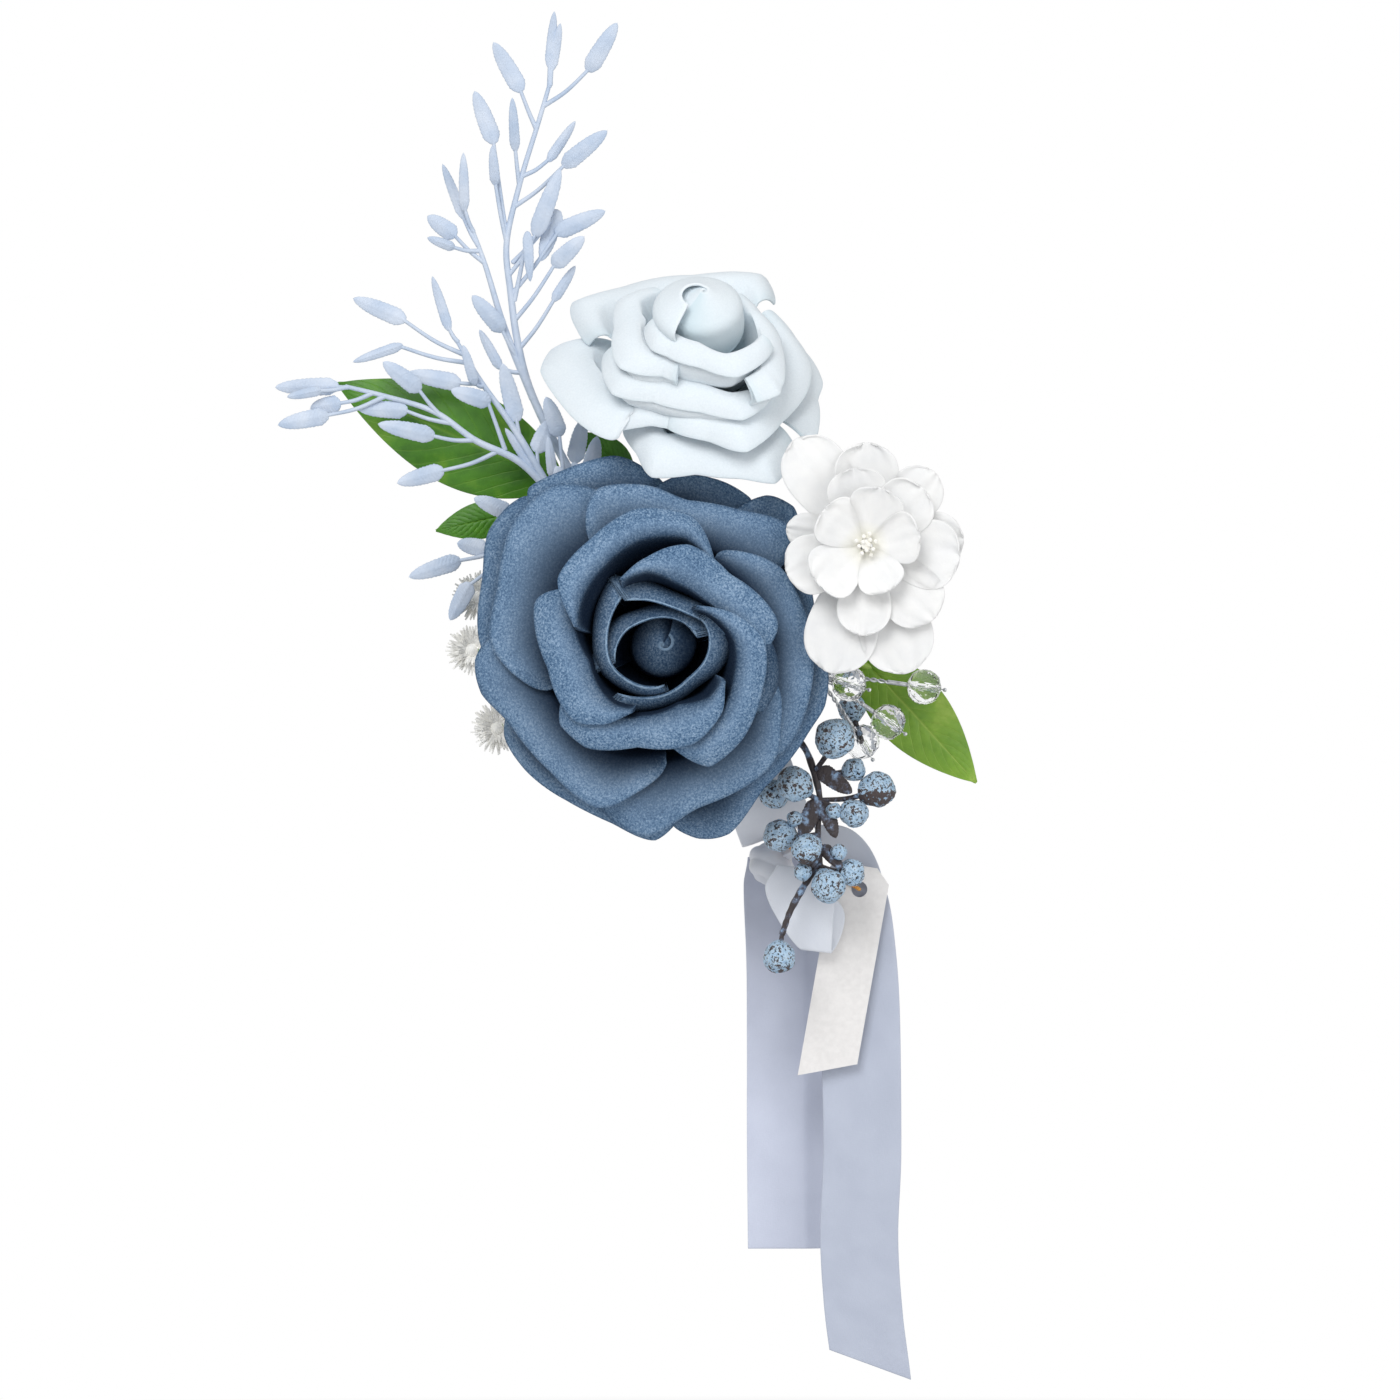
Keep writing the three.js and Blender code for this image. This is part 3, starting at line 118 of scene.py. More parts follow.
def spline(controls, t, closed=False):
    """Points at shares t of the smooth curve through the controls."""
    p = np.array(controls, float)
    count = len(p) if closed else len(p) - 1
    along = np.clip(np.asarray(t, float), 0, 1) * count
    i = np.minimum(along.astype(int), count - 1)
    w = (along - i)[..., None]
    if closed:
        a, b, c, d = (p[(i + k) % len(p)] for k in (-1, 0, 1, 2))
    else:
        q = np.vstack([2 * p[0] - p[1], p, 2 * p[-1] - p[-2]])
        a, b, c, d = (q[i + k] for k in (0, 1, 2, 3))
    gaps = (np.linalg.norm(y - x, axis=-1, keepdims=True) for x, y in ((a, b), (b, c), (c, d)))
    d0, d1, d2 = (np.sqrt(np.maximum(gap, 1e-9)) for gap in gaps)
    m1 = ((b - a) / d0 - (c - a) / (d0 + d1) + (c - b) / d1) * d1
    m2 = ((c - b) / d1 - (d - b) / (d1 + d2) + (d - c) / d2) * d1
    w2, w3 = w * w, w * w * w
    return (2 * w3 - 3 * w2 + 1) * b + (w3 - 2 * w2 + w) * m1 + (3 * w2 - 2 * w3) * c + (w3 - w2) * m2


def steps(count, edge):
    """Shares from 0 to 1 in even steps, with closer ones at a rounded edge."""
    if not edge:
        return np.linspace(0, 1, count + 1)
    return np.concatenate([[0, edge / 3], np.linspace(edge, 1 - edge, count + 1), [1 - edge / 3, 1]])


def soften(x, edge):
    """How thick a sheet still is at share x, rounded off over its edges."""
    if not edge:
        return np.ones_like(x)
    near = np.clip(np.minimum(x, 1 - x) / edge, 0, 1)
    return 0.5 + 0.5 * np.sqrt(near * (2 - near))


def sheet(surface, columns, rows, thickness, ring=False, edge=0.02, side_edge=0.02):
    """A closed sheet of even thickness along surface(u, v): points, faces and named values of each point."""
    us = steps(columns, 0)[:-1] if ring else steps(columns, side_edge)
    vs = steps(rows, edge)
    m, n = len(us), len(vs)
    u, v = np.meshgrid(us, vs, indexing="ij")
    nudge = 1e-4
    along_u = surface(u + nudge, v) - surface(u - nudge, v)
    along_v = surface(u, v + nudge) - surface(u, v - nudge)
    half = thickness / 2 * soften(v, edge) * (1 if ring else soften(u, side_edge))
    middle, offset = surface(u, v), unit(np.cross(along_u, along_v)) * half[..., None]
    points = np.concatenate([(middle + offset).reshape(-1, 3), (middle - offset).reshape(-1, 3)])
    i, j = np.meshgrid(np.arange(m if ring else m - 1), np.arange(n - 1), indexing="ij")
    a = i * n + j
    b = ((i + 1) % m) * n + j
    under = m * n
    quads = [
        np.stack([a, b, b + 1, a + 1], -1).reshape(-1, 4),
        np.stack([a, a + 1, b + 1, b], -1).reshape(-1, 4) + under,
    ]
    first, second = a[:, 0], b[:, 0]
    quads.append(np.stack([first + under, second + under, second, first], -1))
    first, second = first + n - 1, second + n - 1
    quads.append(np.stack([first, second, second + under, first + under], -1))
    rim = (v > 0.999).astype(float)
    if not ring:
        low = np.arange(n - 1)
        high = low + (m - 1) * n
        quads.append(np.stack([low, low + 1, low + 1 + under, low + under], -1))
        quads.append(np.stack([high + under, high + 1 + under, high + 1, high], -1))
        rim = np.maximum(rim, ((u < 0.001) | (u > 0.999)).astype(float))
    values = {key: np.tile(value.ravel(), 2) for key, value in (("across", u), ("out", v), ("rim", rim))}
    return points, np.concatenate(quads).tolist(), values


def carried_frames(points, closed=False):
    """Directions across a line of points, carried along it without twist."""
    if closed:
        tangents = unit(np.roll(points, -1, 0) - np.roll(points, 1, 0))
    else:
        tangents = unit(np.gradient(points, axis=0))
    start = np.array([0.0, 0, 1]) if abs(tangents[0][2]) < 0.8 else np.array([1.0, 0, 0])
    side = unit(np.cross(tangents[0], start))
    sides = []
    for tangent in tangents:
        side = unit(side - tangent * (side @ tangent))
        sides.append(side)
    sides = np.array(sides)
    return tangents, sides, np.cross(tangents, sides)


def skin(rows, sides, closed=False):
    """Faces between rows of points round a line, and a fan to a hub at each end unless the rows close up."""
    faces = []
    for i in range(rows if closed else rows - 1):
        low, high = i * sides, (i + 1) % rows * sides
        faces += [[low + j, low + (j + 1) % sides, high + (j + 1) % sides, high + j] for j in range(sides)]
    if not closed:
        last, hub = (rows - 1) * sides, rows * sides
        for j in range(sides):
            k = (j + 1) % sides
            faces += [[k, j, hub], [last + j, last + k, hub + 1]]
    return faces


def tube(points, radius, sides, closed=False, section=None):
    """A round rod along points, or one of another section: a function of the share along and the angle."""
    points = np.array(points, float)
    count = len(points)
    tangents, across, up = carried_frames(points, closed)
    around = np.arange(sides) * 2 * math.pi / sides
    share, angle = np.meshgrid(np.linspace(0, 1, count), around, indexing="ij")
    reach = np.broadcast_to(np.asarray(radius, float), (count,))[:, None] * np.ones((1, sides))
    if section:
        reach = reach * section(share, angle)
    ring = across[:, None] * np.cos(angle)[..., None] + up[:, None] * np.sin(angle)[..., None]
    vertices = (points[:, None] + ring * reach[..., None]).reshape(-1, 3)
    values = {"along": share.ravel(), "around": angle.ravel() / (2 * math.pi)}
    if not closed:
        ends = ((0, -1), (-1, 1))
        tips = [points[i] + tangents[i] * way * float(np.mean(reach[i])) * TIP_SHARE for i, way in ends]
        vertices = np.vstack([vertices, *tips])
        values = {key: np.append(value, [0, 1]) for key, value in values.items()}
    return vertices, skin(count, sides, closed), values


def rod(controls, count, radius, sides):
    """A rod along the smooth curve through the controls."""
    return tube(spline(controls, np.linspace(0, 1, count)), radius, sides)


def lathe(profile, sides):
    """A solid of revolution about z through (radius, height) rows, the first and last on the axis."""
    profile = np.array(profile, float)
    angle = np.arange(sides) * 2 * math.pi / sides
    radii, heights = profile[1:-1, :1], profile[1:-1, 1:]
    rings = np.stack([radii * np.cos(angle), radii * np.sin(angle), heights * np.ones(sides)], -1)
    vertices = np.vstack([rings.reshape(-1, 3), [[0, 0, profile[0, 1]], [0, 0, profile[-1, 1]]]])
    return vertices, skin(len(radii), sides), {}


def merged(parts):
    """Several meshes as one, with the values that they share."""
    keys = set.intersection(*(set(part[2]) for part in parts))
    faces, start = [], 0
    for part_points, part_faces, _ in parts:
        faces += [[k + start for k in face] for face in part_faces]
        start += len(part_points)
    values = {key: np.concatenate([part[2][key] for part in parts]) for key in keys}
    return np.vstack([part[0] for part in parts]), faces, values


def moved(part, turn, shift):
    """A part, turned by a matrix if there is one, and shifted."""
    points = part[0] if turn is None else part[0] @ np.array(turn, float).T
    return points + np.array(shift, float), part[1], part[2]


def turn_about_x(angle):
    c, s = math.cos(angle), math.sin(angle)
    return np.array([[1, 0, 0], [0, c, -s], [0, s, c]])


def basis(up):
    """A turn that takes z to up."""
    up = unit(np.array(up, float))
    other = np.array([1.0, 0, 0]) if abs(up[1]) > 0.95 else np.array([0.0, -1, 0])
    across = unit(np.cross(other, up))
    return np.stack([across, np.cross(up, across), up], -1)


def scene_object(name, data):
    made = bpy.data.objects.new(name, data)
    bpy.context.scene.collection.objects.link(made)
    return made


def piece(name, part, finish, body="corsage", nodes=(), sharp=40, flat=False):
    """A Blender object of the part, riding on its body and standing for its nodes."""
    points, faces, values = part
    mesh = bpy.data.meshes.new(name)
    mesh.from_pydata((points * MM).tolist(), [], faces)
    for key, value in values.items():
        mesh.attributes.new(key, "FLOAT", "POINT").data.foreach_set("value", np.asarray(value, np.float32))
    mesh.polygons.foreach_set("use_smooth", [not flat] * len(mesh.polygons))
    if not flat:
        mesh.set_sharp_from_angle(angle=math.radians(sharp))
    mesh.materials.append(finish)
    mesh.update()
    made = scene_object(name, mesh)
    if isinstance(body, str):
        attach(made, body)
    if nodes:
        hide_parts(*nodes)
    return made


# Finishes

SHADER = "Principled BSDF"
EVEN = (1.0, 1.0, 1.0)
WHITE = (1, 1, 1, 1)
# How far the painted shade goes towards its colour, at most
DEEPEST = 0.93


def shade(red, green, blue):
    """A screen colour, 0 to 255, as the linear colour that a shader takes."""
    values = np.array([red, green, blue]) / 255
    linear = np.where(values <= 0.04045, values / 12.92, ((values + 0.055) / 1.055) ** 2.4)
    return (*linear.tolist(), 1.0)


def add(tree, kind, inputs=None, **settings):
    node = tree.nodes.new("ShaderNode" + kind)
    for key, value in settings.items():
        setattr(node, key, value)
    for key, value in (inputs or {}).items():
        if isinstance(value, bpy.types.NodeSocket):
            tree.links.new(value, node.inputs[key])
        else:
            node.inputs[key].default_value = value
    return node


def material(name, **sockets):
    """A new material, with some sockets of its shader set, and its tree of nodes."""
    made = bpy.data.materials.new(name)
    made.use_nodes = True
    for key, value in sockets.items():
        made.node_tree.nodes[SHADER].inputs[key.replace("_", " ")].default_value = value
    return made, made.node_tree


def finished(made, color, height, strength, distance):
    """The material, with a colour and the bumps of a height linked to its shader."""
    tree = made.node_tree
    inputs = tree.nodes[SHADER].inputs
    bump = add(tree, "Bump", {"Height": height, "Strength": strength, "Distance": distance})
    tree.links.new(color, inputs["Base Color"])
    tree.links.new(bump.outputs["Normal"], inputs["Normal"])
    return made


def position(tree):
    return add(tree, "TexCoord").outputs["Object"]


def value_of(tree, name):
    return add(tree, "Attribute", attribute_name=name).outputs["Fac"]


def noise(tree, vector, scale, detail=2.0, roughness=0.5):
    inputs = {"Vector": vector, "Scale": scale, "Detail": detail, "Roughness": roughness}
    return add(tree, "TexNoise", inputs).outputs["Fac"]


def maths(tree, operation, a, b=0.0):
    return add(tree, "Math", {0: a, 1: b}, operation=operation).outputs[0]


def mixture(tree, a, share_a, b, share_b):
    return maths(tree, "ADD", maths(tree, "MULTIPLY", a, share_a), maths(tree, "MULTIPLY", b, share_b))


def remap(tree, value, low, high, to_low=0.0, to_high=1.0):
    inputs = {"Value": value, "From Min": low, "From Max": high, "To Min": to_low, "To Max": to_high}
    return add(tree, "MapRange", inputs).outputs["Result"]


def ramp(tree, factor, stops):
    """A colour by a factor, from stops of a place and a screen colour."""
    node = add(tree, "ValToRGB", {"Fac": factor})
    elements = node.color_ramp.elements
    while len(elements) < len(stops):
        elements.new(0.5)
    for element, (at, color) in zip(elements, stops):
        element.position = at
        element.color = shade(*color)
    return node.outputs["Color"]


def tinted(tree, factor, color, other):
    """A colour, blended by a factor into another screen colour."""
    inputs = {0: factor, 6: color, 7: shade(*other)}
    return add(tree, "Mix", inputs, data_type="RGBA", blend_type="MIX").outputs[2]


def foam_finish(name, dark, middle, light, painted_shade_color, lit, rim, spread, glow):
    """Fine foam, with a painted shade that darkens it towards a petal's foot and painted highlights that
    lighten its ridge and rim.
    """
    made, tree = material(
        name, Roughness=0.95, Specular_IOR_Level=0.05,
        Subsurface_Weight=glow, Subsurface_Scale=0.001, Subsurface_Radius=EVEN,
    )
    at = position(tree)
    grain = noise(tree, at, 2300, 3, 0.75)
    mixed = mixture(tree, grain, 0.8, noise(tree, at, 120, 3), 0.2)
    color = ramp(tree, mixed, [(0.5 - spread, dark), (0.5, middle), (0.5 + spread, light)])
    # Painted highlight on the ridge, painted shade down the walls, painted highlight on the rim
    color = tinted(tree, value_of(tree, "lit"), color, lit)
    deep = maths(tree, "SUBTRACT", DEEPEST, maths(tree, "MULTIPLY", value_of(tree, "tone"), DEEPEST))
    color = tinted(tree, value_of(tree, "rim"), tinted(tree, deep, color, painted_shade_color), rim)
    return finished(made, color, grain, 0.35, 0.00025)


# Speckled foam colours, then the colours of the painted shade and of the painted ridge and rim highlights
blue_foam = foam_finish(
    "blue_foam", dark=(50, 78, 110), middle=(97, 126, 157), light=(153, 176, 201), painted_shade_color=(9, 22, 42),
    lit=(134, 160, 189), rim=(146, 172, 196), spread=0.15, glow=0.0,
)
pale_foam = foam_finish(
    "pale_foam", dark=(221, 230, 236), middle=(226, 234, 240), light=(231, 239, 244), painted_shade_color=(208, 224, 231),
    lit=(230, 238, 243), rim=(232, 239, 244), spread=0.2, glow=0.3,
)


def silk_finish():
    """White cloth, creamier towards a petal's foot, with a fine weave and a crinkle."""
    made, tree = material(
        "white_silk", Roughness=0.8, Sheen_Weight=0.1, Sheen_Roughness=0.5,
        Subsurface_Weight=0.25, Subsurface_Scale=0.0015, Subsurface_Radius=EVEN,
    )
    at = position(tree)
    color = ramp(tree, noise(tree, at, 160, 3), [(0.3, (228, 229, 230)), (0.7, (238, 238, 237))])
    deep = remap(tree, value_of(tree, "out"), 0.0, 0.35, 0.6, 0.0)
    weave = maths(tree, "MULTIPLY", noise(tree, at, 2600, 2, 0.6), 0.3)
    height = maths(tree, "ADD", weave, noise(tree, at, 420, 3, 0.6))
    return finished(made, tinted(tree, deep, color, (236, 233, 212)), height, 0.3, 0.0003)


white_silk = silk_finish()


def plain_finish(name, colors, scale, roughness, bump_scale, bump, distance=0.0003, **sockets):
    """A finish whose colour wanders between two shades, with a fine grain."""
    made, tree = material(name, Roughness=roughness, **sockets)
    at = position(tree)
    color = ramp(tree, noise(tree, at, scale, 3), [(0.32, colors[0]), (0.68, colors[1])])
    return finished(made, color, noise(tree, at, bump_scale, 3, 0.6), bump, distance)


stamen_cream = plain_finish("stamens", [(240, 238, 230), (245, 244, 240)], 500, 0.8, 3000, 0.4)
sprig_blue = plain_finish("sprig_blue", [(176, 192, 214), (202, 212, 227)], 180, 0.6, 2200, 0.35)
floret_cream = plain_finish(
    "floret_cream", [(247, 246, 241), (252, 252, 250)], 400, 0.85, 2400, 0.2,
    Subsurface_Weight=0.15, Subsurface_Scale=0.001, Subsurface_Radius=EVEN,
)
core_green = plain_finish("core_green", [(120, 150, 96), (160, 184, 132)], 200, 0.6, 1500, 0.3)
wire_silver = plain_finish(
    "silver_wire", [(176, 178, 182), (214, 216, 219)], 900, 0.28, 4000, 0.3, Metallic=1.0,
)
thread_gold = plain_finish("gold_thread", [(196, 128, 48), (226, 168, 84)], 900, 0.55, 5000, 0.5)
white_felt = plain_finish(
    "white_felt", [(228, 228, 225), (242, 242, 240)], 700, 0.95, 1600, 0.9, 0.0006, Sheen_Weight=0.4,
)
card_white = plain_finish("card", [(221, 219, 218), (228, 226, 225)], 900, 0.82, 2400, 0.25, 0.0001)


def leaf_finish(name, dark, middle, light):
    """A leaf with a paler midrib and side veins, from its own across and out values."""
    made, tree = material(name, Roughness=0.48, Specular_IOR_Level=0.45)
    at = position(tree)
    across = maths(tree, "ABSOLUTE", maths(tree, "SUBTRACT", value_of(tree, "across"), 0.5))
    color = ramp(tree, noise(tree, at, 110, 4, 0.6), [(0.3, dark), (0.55, middle), (0.75, light)])
    out = maths(tree, "MULTIPLY", value_of(tree, "out"), 11.0)
    slant = maths(tree, "SUBTRACT", out, maths(tree, "MULTIPLY", across, 6.0))
    wave = maths(tree, "ABSOLUTE", maths(tree, "SUBTRACT", maths(tree, "FRACT", slant), 0.5))
    vein = maths(tree, "MULTIPLY", remap(tree, wave, 0.0, 0.09, 1.0, 0.0), 0.45)
    mark = maths(tree, "MAXIMUM", vein, remap(tree, across, 0.0, 0.035, 1.0, 0.0))
    color = tinted(tree, maths(tree, "MULTIPLY", mark, 0.55), color, light)
    fine = maths(tree, "MULTIPLY", noise(tree, at, 1400, 3), 0.4)
    return finished(made, color, maths(tree, "SUBTRACT", fine, mark), 0.35, 0.0004)


leaf_green = leaf_finish("leaf_green", (52, 104, 22), (76, 134, 28), (116, 162, 44))
leaf_light = leaf_finish("leaf_light", (96, 140, 36), (124, 164, 48), (164, 190, 84))


def berry_finish():
    """A pale blue coat with dark flecks, worn off raggedly where a berry's bald value is high."""
    made, tree = material("berry_blue", Roughness=0.6)
    at = position(tree)
    patch = noise(tree, at, 700, 4, 0.7)
    fleck = noise(tree, at, 1700, 3, 0.7)
    color = ramp(tree, patch, [(0.3, (140, 174, 206)), (0.5, (180, 207, 230)), (0.72, (216, 230, 241))])
    color = tinted(tree, remap(tree, fleck, 0.42, 0.445, 1.0, 0.0), color, (22, 26, 38))
    bare = maths(tree, "ADD", value_of(tree, "bald"), maths(tree, "MULTIPLY", patch, 6.0))
    color = tinted(tree, remap(tree, bare, 3.45, 3.52), color, (72, 62, 62))
    return finished(made, color, maths(tree, "ADD", patch, fleck), 0.8, 0.0006)


def stem_finish():
    """Dark bark with patches of the berries' coat."""
    made, tree = material("berry_stem", Roughness=0.5)
    at = position(tree)
    stops = [(0.5, (52, 44, 46)), (0.56, (84, 88, 104)), (0.64, (140, 168, 200))]
    color = ramp(tree, noise(tree, at, 420, 4, 0.65), stops)
    return finished(made, color, noise(tree, at, 1600, 3, 0.7), 0.7, 0.0005)


def crystal_finish():
    made, tree = material("crystal", Roughness=0.0, IOR=1.6, Transmission_Weight=1.0)
    tint = ramp(tree, noise(tree, position(tree), 300), [(0.3, (246, 247, 248)), (0.7, (255, 255, 255))])
    tree.links.new(tint, tree.nodes[SHADER].inputs["Base Color"])
    return made


berry_blue = berry_finish()
berry_stem = stem_finish()
crystal_clear = crystal_finish()


def satin_finish(name, dark, light, start=None):
    """Satin: fine threads along the ribbon, by its own wide and long values, in millimetres, and a painted
    light on its first stretch if a start colour is given.
    """
    made, tree = material(
        name, Roughness=0.42, Specular_IOR_Level=0.4, Anisotropic=0.4,
        Sheen_Weight=0.35, Sheen_Roughness=0.35,
    )
    at = add(tree, "CombineXYZ", {0: value_of(tree, "wide"), 1: value_of(tree, "long")}).outputs[0]
    warp, weft = (
        noise(tree, add(tree, "VectorMath", {0: at, 1: stretch}, operation="MULTIPLY").outputs[0], 1.0, 2)
        for stretch in ((9.0, 0.9, 1.0), (1.2, 8.0, 1.0))
    )
    thread = mixture(tree, warp, 0.5, weft, 0.5)
    color = ramp(tree, mixture(tree, noise(tree, at, 0.12, 2), 0.6, thread, 0.4), [(0.3, dark), (0.7, light)])
    # A painted light: the ribbon's first stretch blends into the start colour
    if start:
        color = tinted(tree, remap(tree, value_of(tree, "long"), 9.0, 26.0, 1.0, 0.0), color, start)
    return finished(made, color, thread, 0.22, 0.0002)


# One satin in three copies with painted light and shade: the long tail's is painted darker, with a painted
# light where it starts, and the short tail's and the band's, knot's and loop's are painted lighter
satin_tail_painted_darker = satin_finish("satin_tail_painted_darker", (170, 177, 194), (182, 189, 205), (198, 202, 212))
satin_back_painted_lighter = satin_finish("satin_back_painted_lighter", (190, 196, 214), (202, 208, 225))
satin_band_painted_lighter = satin_finish("satin_band_painted_lighter", (208, 213, 223), (224, 228, 236))

# Roses

BUD_RADIUS = 2.2
BLUE_RADIUS = 37.5
BLUE_FOOT = 5.0
BLUE_PLACE = (-16.2, -(PAD_FACE + SEAT + BLUE_FOOT), 12.2)
PALE_RADIUS = 29.0
PALE_PLACE = (-7.5, -28.0, 63.4)
PALE_ANGLE = math.radians(45)
PALE_STEM = [(690, 566), (692, 520), (694, 470), (696, 430)]
PALE_STEM_RADIUS = 1.5
PETAL = 0.7
BUD_TURNS = 2.0
PETAL_GRID = (64, 30)
BUD_GRID = (120, 28)
# The share of a petal's way up where its wall goes over into its lip, and how far along a lip its bend lies
WALL_END = 0.5
LIP_SHARE = 0.6
INSIDE_SHADE = 0.3
# Each bud's lightest value caps its painted light, and its last value sets the painted shade on its left and
# right sides
BLUE_BUD = dict(
    height=27.6, bulge=7.4, start=115, closing=0.87, lightest=0.42, slit=1.6, shift=(1.5, 1.0), lean=-60,
    painted_side_shade=0.85,
)
PALE_BUD = dict(
    height=34.3, bulge=9.2, start=-116, closing=0.86, lightest=1.0, slit=4.4, shift=(1.6, 0.0), lean=-10,
    painted_side_shade=0,
)

# How each ring looks: the painted shade's start and end as shares from foot to border, the ends' length and
# how far they dive and taper, the wall's belly (reach and height of its bend), how crisp its corners are, the
# painted highlights on its rim and ridge, how broad the painted ridge highlight is, and the belly of a wall
# that faces forward
LOOKS = {
    "blue_wrap": (0.16, 0.85, 0.34, 0.92, 0.0, 3.2, 0.85, 0.0, 0.9, 0.0, 0.13, 0.0),
    "blue_inner": (0.12, 0.72, 0.3, 0.92, 0.0, 3.1, 0.86, 0.1, 0.9, 0.0, 0.13, 0.0),
    "blue_middle": (0.34, 0.74, 0.36, 0.85, 1.0, 0.95, 1.0, 0.7, 0.0, 0.3, 0.13, 0.0),
    "blue_outer": (0.46, 0.94, 0.14, 0.3, 0.0, 0.85, 1.0, 0.4, 0.0, 0.55, 0.26, 0.0),
    "blue_last": (0.54, 0.98, 0.14, 0.3, 0.0, 0.85, 1.0, 0.4, 0.0, 0.3, 0.26, 0.0),
    "pale": (0.02, 0.3, 0.2, 0.0, 0.0, 0.85, 1.0, 0.75, 0.0, 0.0, 0.13, 2.4),
    "pale_fourth": (0.02, 0.3, 0.2, 0.0, 0.0, 0.85, 1.0, 0.75, 0.0, 0.0, 0.13, 1.0),
    "pale_outer": (0.02, 0.3, 0.2, 0.0, 0.0, 0.85, 1.0, 0.75, 0.0, 0.0, 0.13, 0.6),
    "pale_last": (0.02, 0.3, 0.2, 0.0, 0.0, 0.85, 1.0, 0.75, 0.0, 0.0, 0.13, 0.0),
}

# Rings: shares of foot height, ridge height, fall along the petal, drop of the lip at start and end, growth
BLUE_RINGS = {
    "wrap": (0.373, 0.827, 0.02, 0.004, 0.008, 0.25),
    "inner": (0.32, 0.88, 0.03, 0.004, 0.008, 1),
    "middle": (0.213, 0.987, 0.16, 0.027, 0.107, 1),
    "outer": (0.107, 0.667, 0.12, 0.027, 0.15, 1),
    "last": (0.027, 0.373, 0.1, 0.04, 0.13, 1),
}
PALE_RINGS = {
    "inner": (0.42, 0.98, 0, 0.09, 0.09, 0.2),
    "second": (0.34, 0.85, 0, 0.1, 0.1, 0.2),
    "third": (0.26, 0.69, 0, 0.11, 0.11, 0.2),
    "fourth": (0.18, 0.54, 0, 0.14, 0.14, 0.2),
    "outer": (0.1, 0.5, 0.16, 0.09, 0.18, 0.2),
    "last": (0.02, 0.3, 0, 0.13, 0.13, 0.2),
}

# Blue petals: stations of angle, and of ridge and border in thousandths of the rose's radius
BLUE_PETALS = {
    "wrap": [
        [(205, 235, 242), (178, 212, 220), (149, 190, 197), (118, 168, 175), (88, 174, 181),
         (58, 200, 207), (34, 228, 235), (10, 250, 257)],
    ],
    "inner": [
        [(40, 300, 307), (18, 312, 320), (-7, 290, 298), (-40, 245, 253), (-75, 252, 260),
         (-107, 278, 285), (-136, 330, 338)],
        [(-70, 200, 207), (-95, 208, 215), (-130, 222, 230), (-160, 250, 258), (-195, 272, 280),
         (-222, 310, 318), (-245, 360, 368)],
        [(126, 330, 337), (105, 285, 292), (75, 252, 260), (48, 268, 275), (25, 330, 337),
         (8, 420, 428), (-14, 470, 478), (-34, 460, 468)],
    ],
    "middle": [
        [(166, 453, 469), (143, 507, 672), (122, 550, 704), (98, 624, 787), (75, 655, 770),
         (54, 573, 613)],
        [(118, 430, 443), (95, 440, 510), (72, 397, 615), (45, 395, 592), (14, 453, 700),
         (-14, 533, 640)],
        [(48, 320, 333), (25, 400, 475), (5, 459, 611), (-20, 480, 637), (-45, 520, 693),
         (-65, 547, 720), (-82, 533, 637)],
        [(-22, 427, 440), (-42, 413, 507), (-67, 344, 565), (-100, 387, 549), (-125, 453, 664),
         (-142, 507, 669), (-160, 533, 627)],
        [(-108, 360, 373), (-126, 389, 515), (-140, 387, 603), (-170, 381, 603),
         (-200, 493, 712), (-218, 573, 709)],
    ],
    "outer": [
        [(201, 560, 659), (188, 587, 819), (176, 600, 925), (158, 613, 944), (138, 640, 1069),
         (122, 653, 1083), (113, 653, 989), (105, 640, 853)],
        [(121, 613, 720), (116, 627, 867), (109, 640, 955), (92, 653, 915), (78, 653, 851),
         (59, 653, 912), (43, 653, 1019), (33, 653, 880)],
        [(57, 600, 651), (47, 613, 741), (33, 627, 837), (19, 640, 856), (-8, 640, 893),
         (-23, 653, 909), (-38, 653, 917), (-50, 640, 800)],
        [(-12, 587, 661), (-19, 600, 736), (-31, 613, 821), (-45, 640, 915), (-75, 640, 915),
         (-92, 653, 1045), (-103, 653, 992), (-112, 640, 880)],
        [(-84, 587, 651), (-97, 613, 800), (-110, 640, 939), (-131, 640, 896), (-153, 640, 907),
         (-166, 653, 1000), (-177, 653, 1003), (-186, 640, 907)],
    ],
    "last": [
        [(186, 773, 907), (177, 800, 981), (157, 800, 1048), (144, 827, 1147), (131, 827, 1133),
         (122, 800, 960)],
        [(133, 787, 987), (128, 800, 1147), (117, 827, 1128), (102, 827, 1109), (92, 827, 1000),
         (86, 800, 907)],
        [(92, 773, 880), (81, 800, 995), (70, 800, 1013), (58, 813, 1000), (52, 800, 880)],
        [(60, 773, 907), (54, 800, 1067), (46, 827, 1115), (38, 827, 1040), (20, 800, 933),
         (5, 800, 907)],
        [(8, 773, 880), (-7, 800, 973), (-18, 800, 1000), (-29, 813, 971), (-52, 813, 984),
         (-68, 827, 1109), (-77, 827, 1080), (-86, 800, 960)],
        [(-80, 773, 907), (-90, 813, 1067), (-104, 827, 995), (-120, 813, 973),
         (-137, 827, 987), (-150, 813, 968), (-158, 800, 880)],
    ],
}

# A petal's first and last lip are at least this share of their neighbour's
SQUARE_END = 0.8
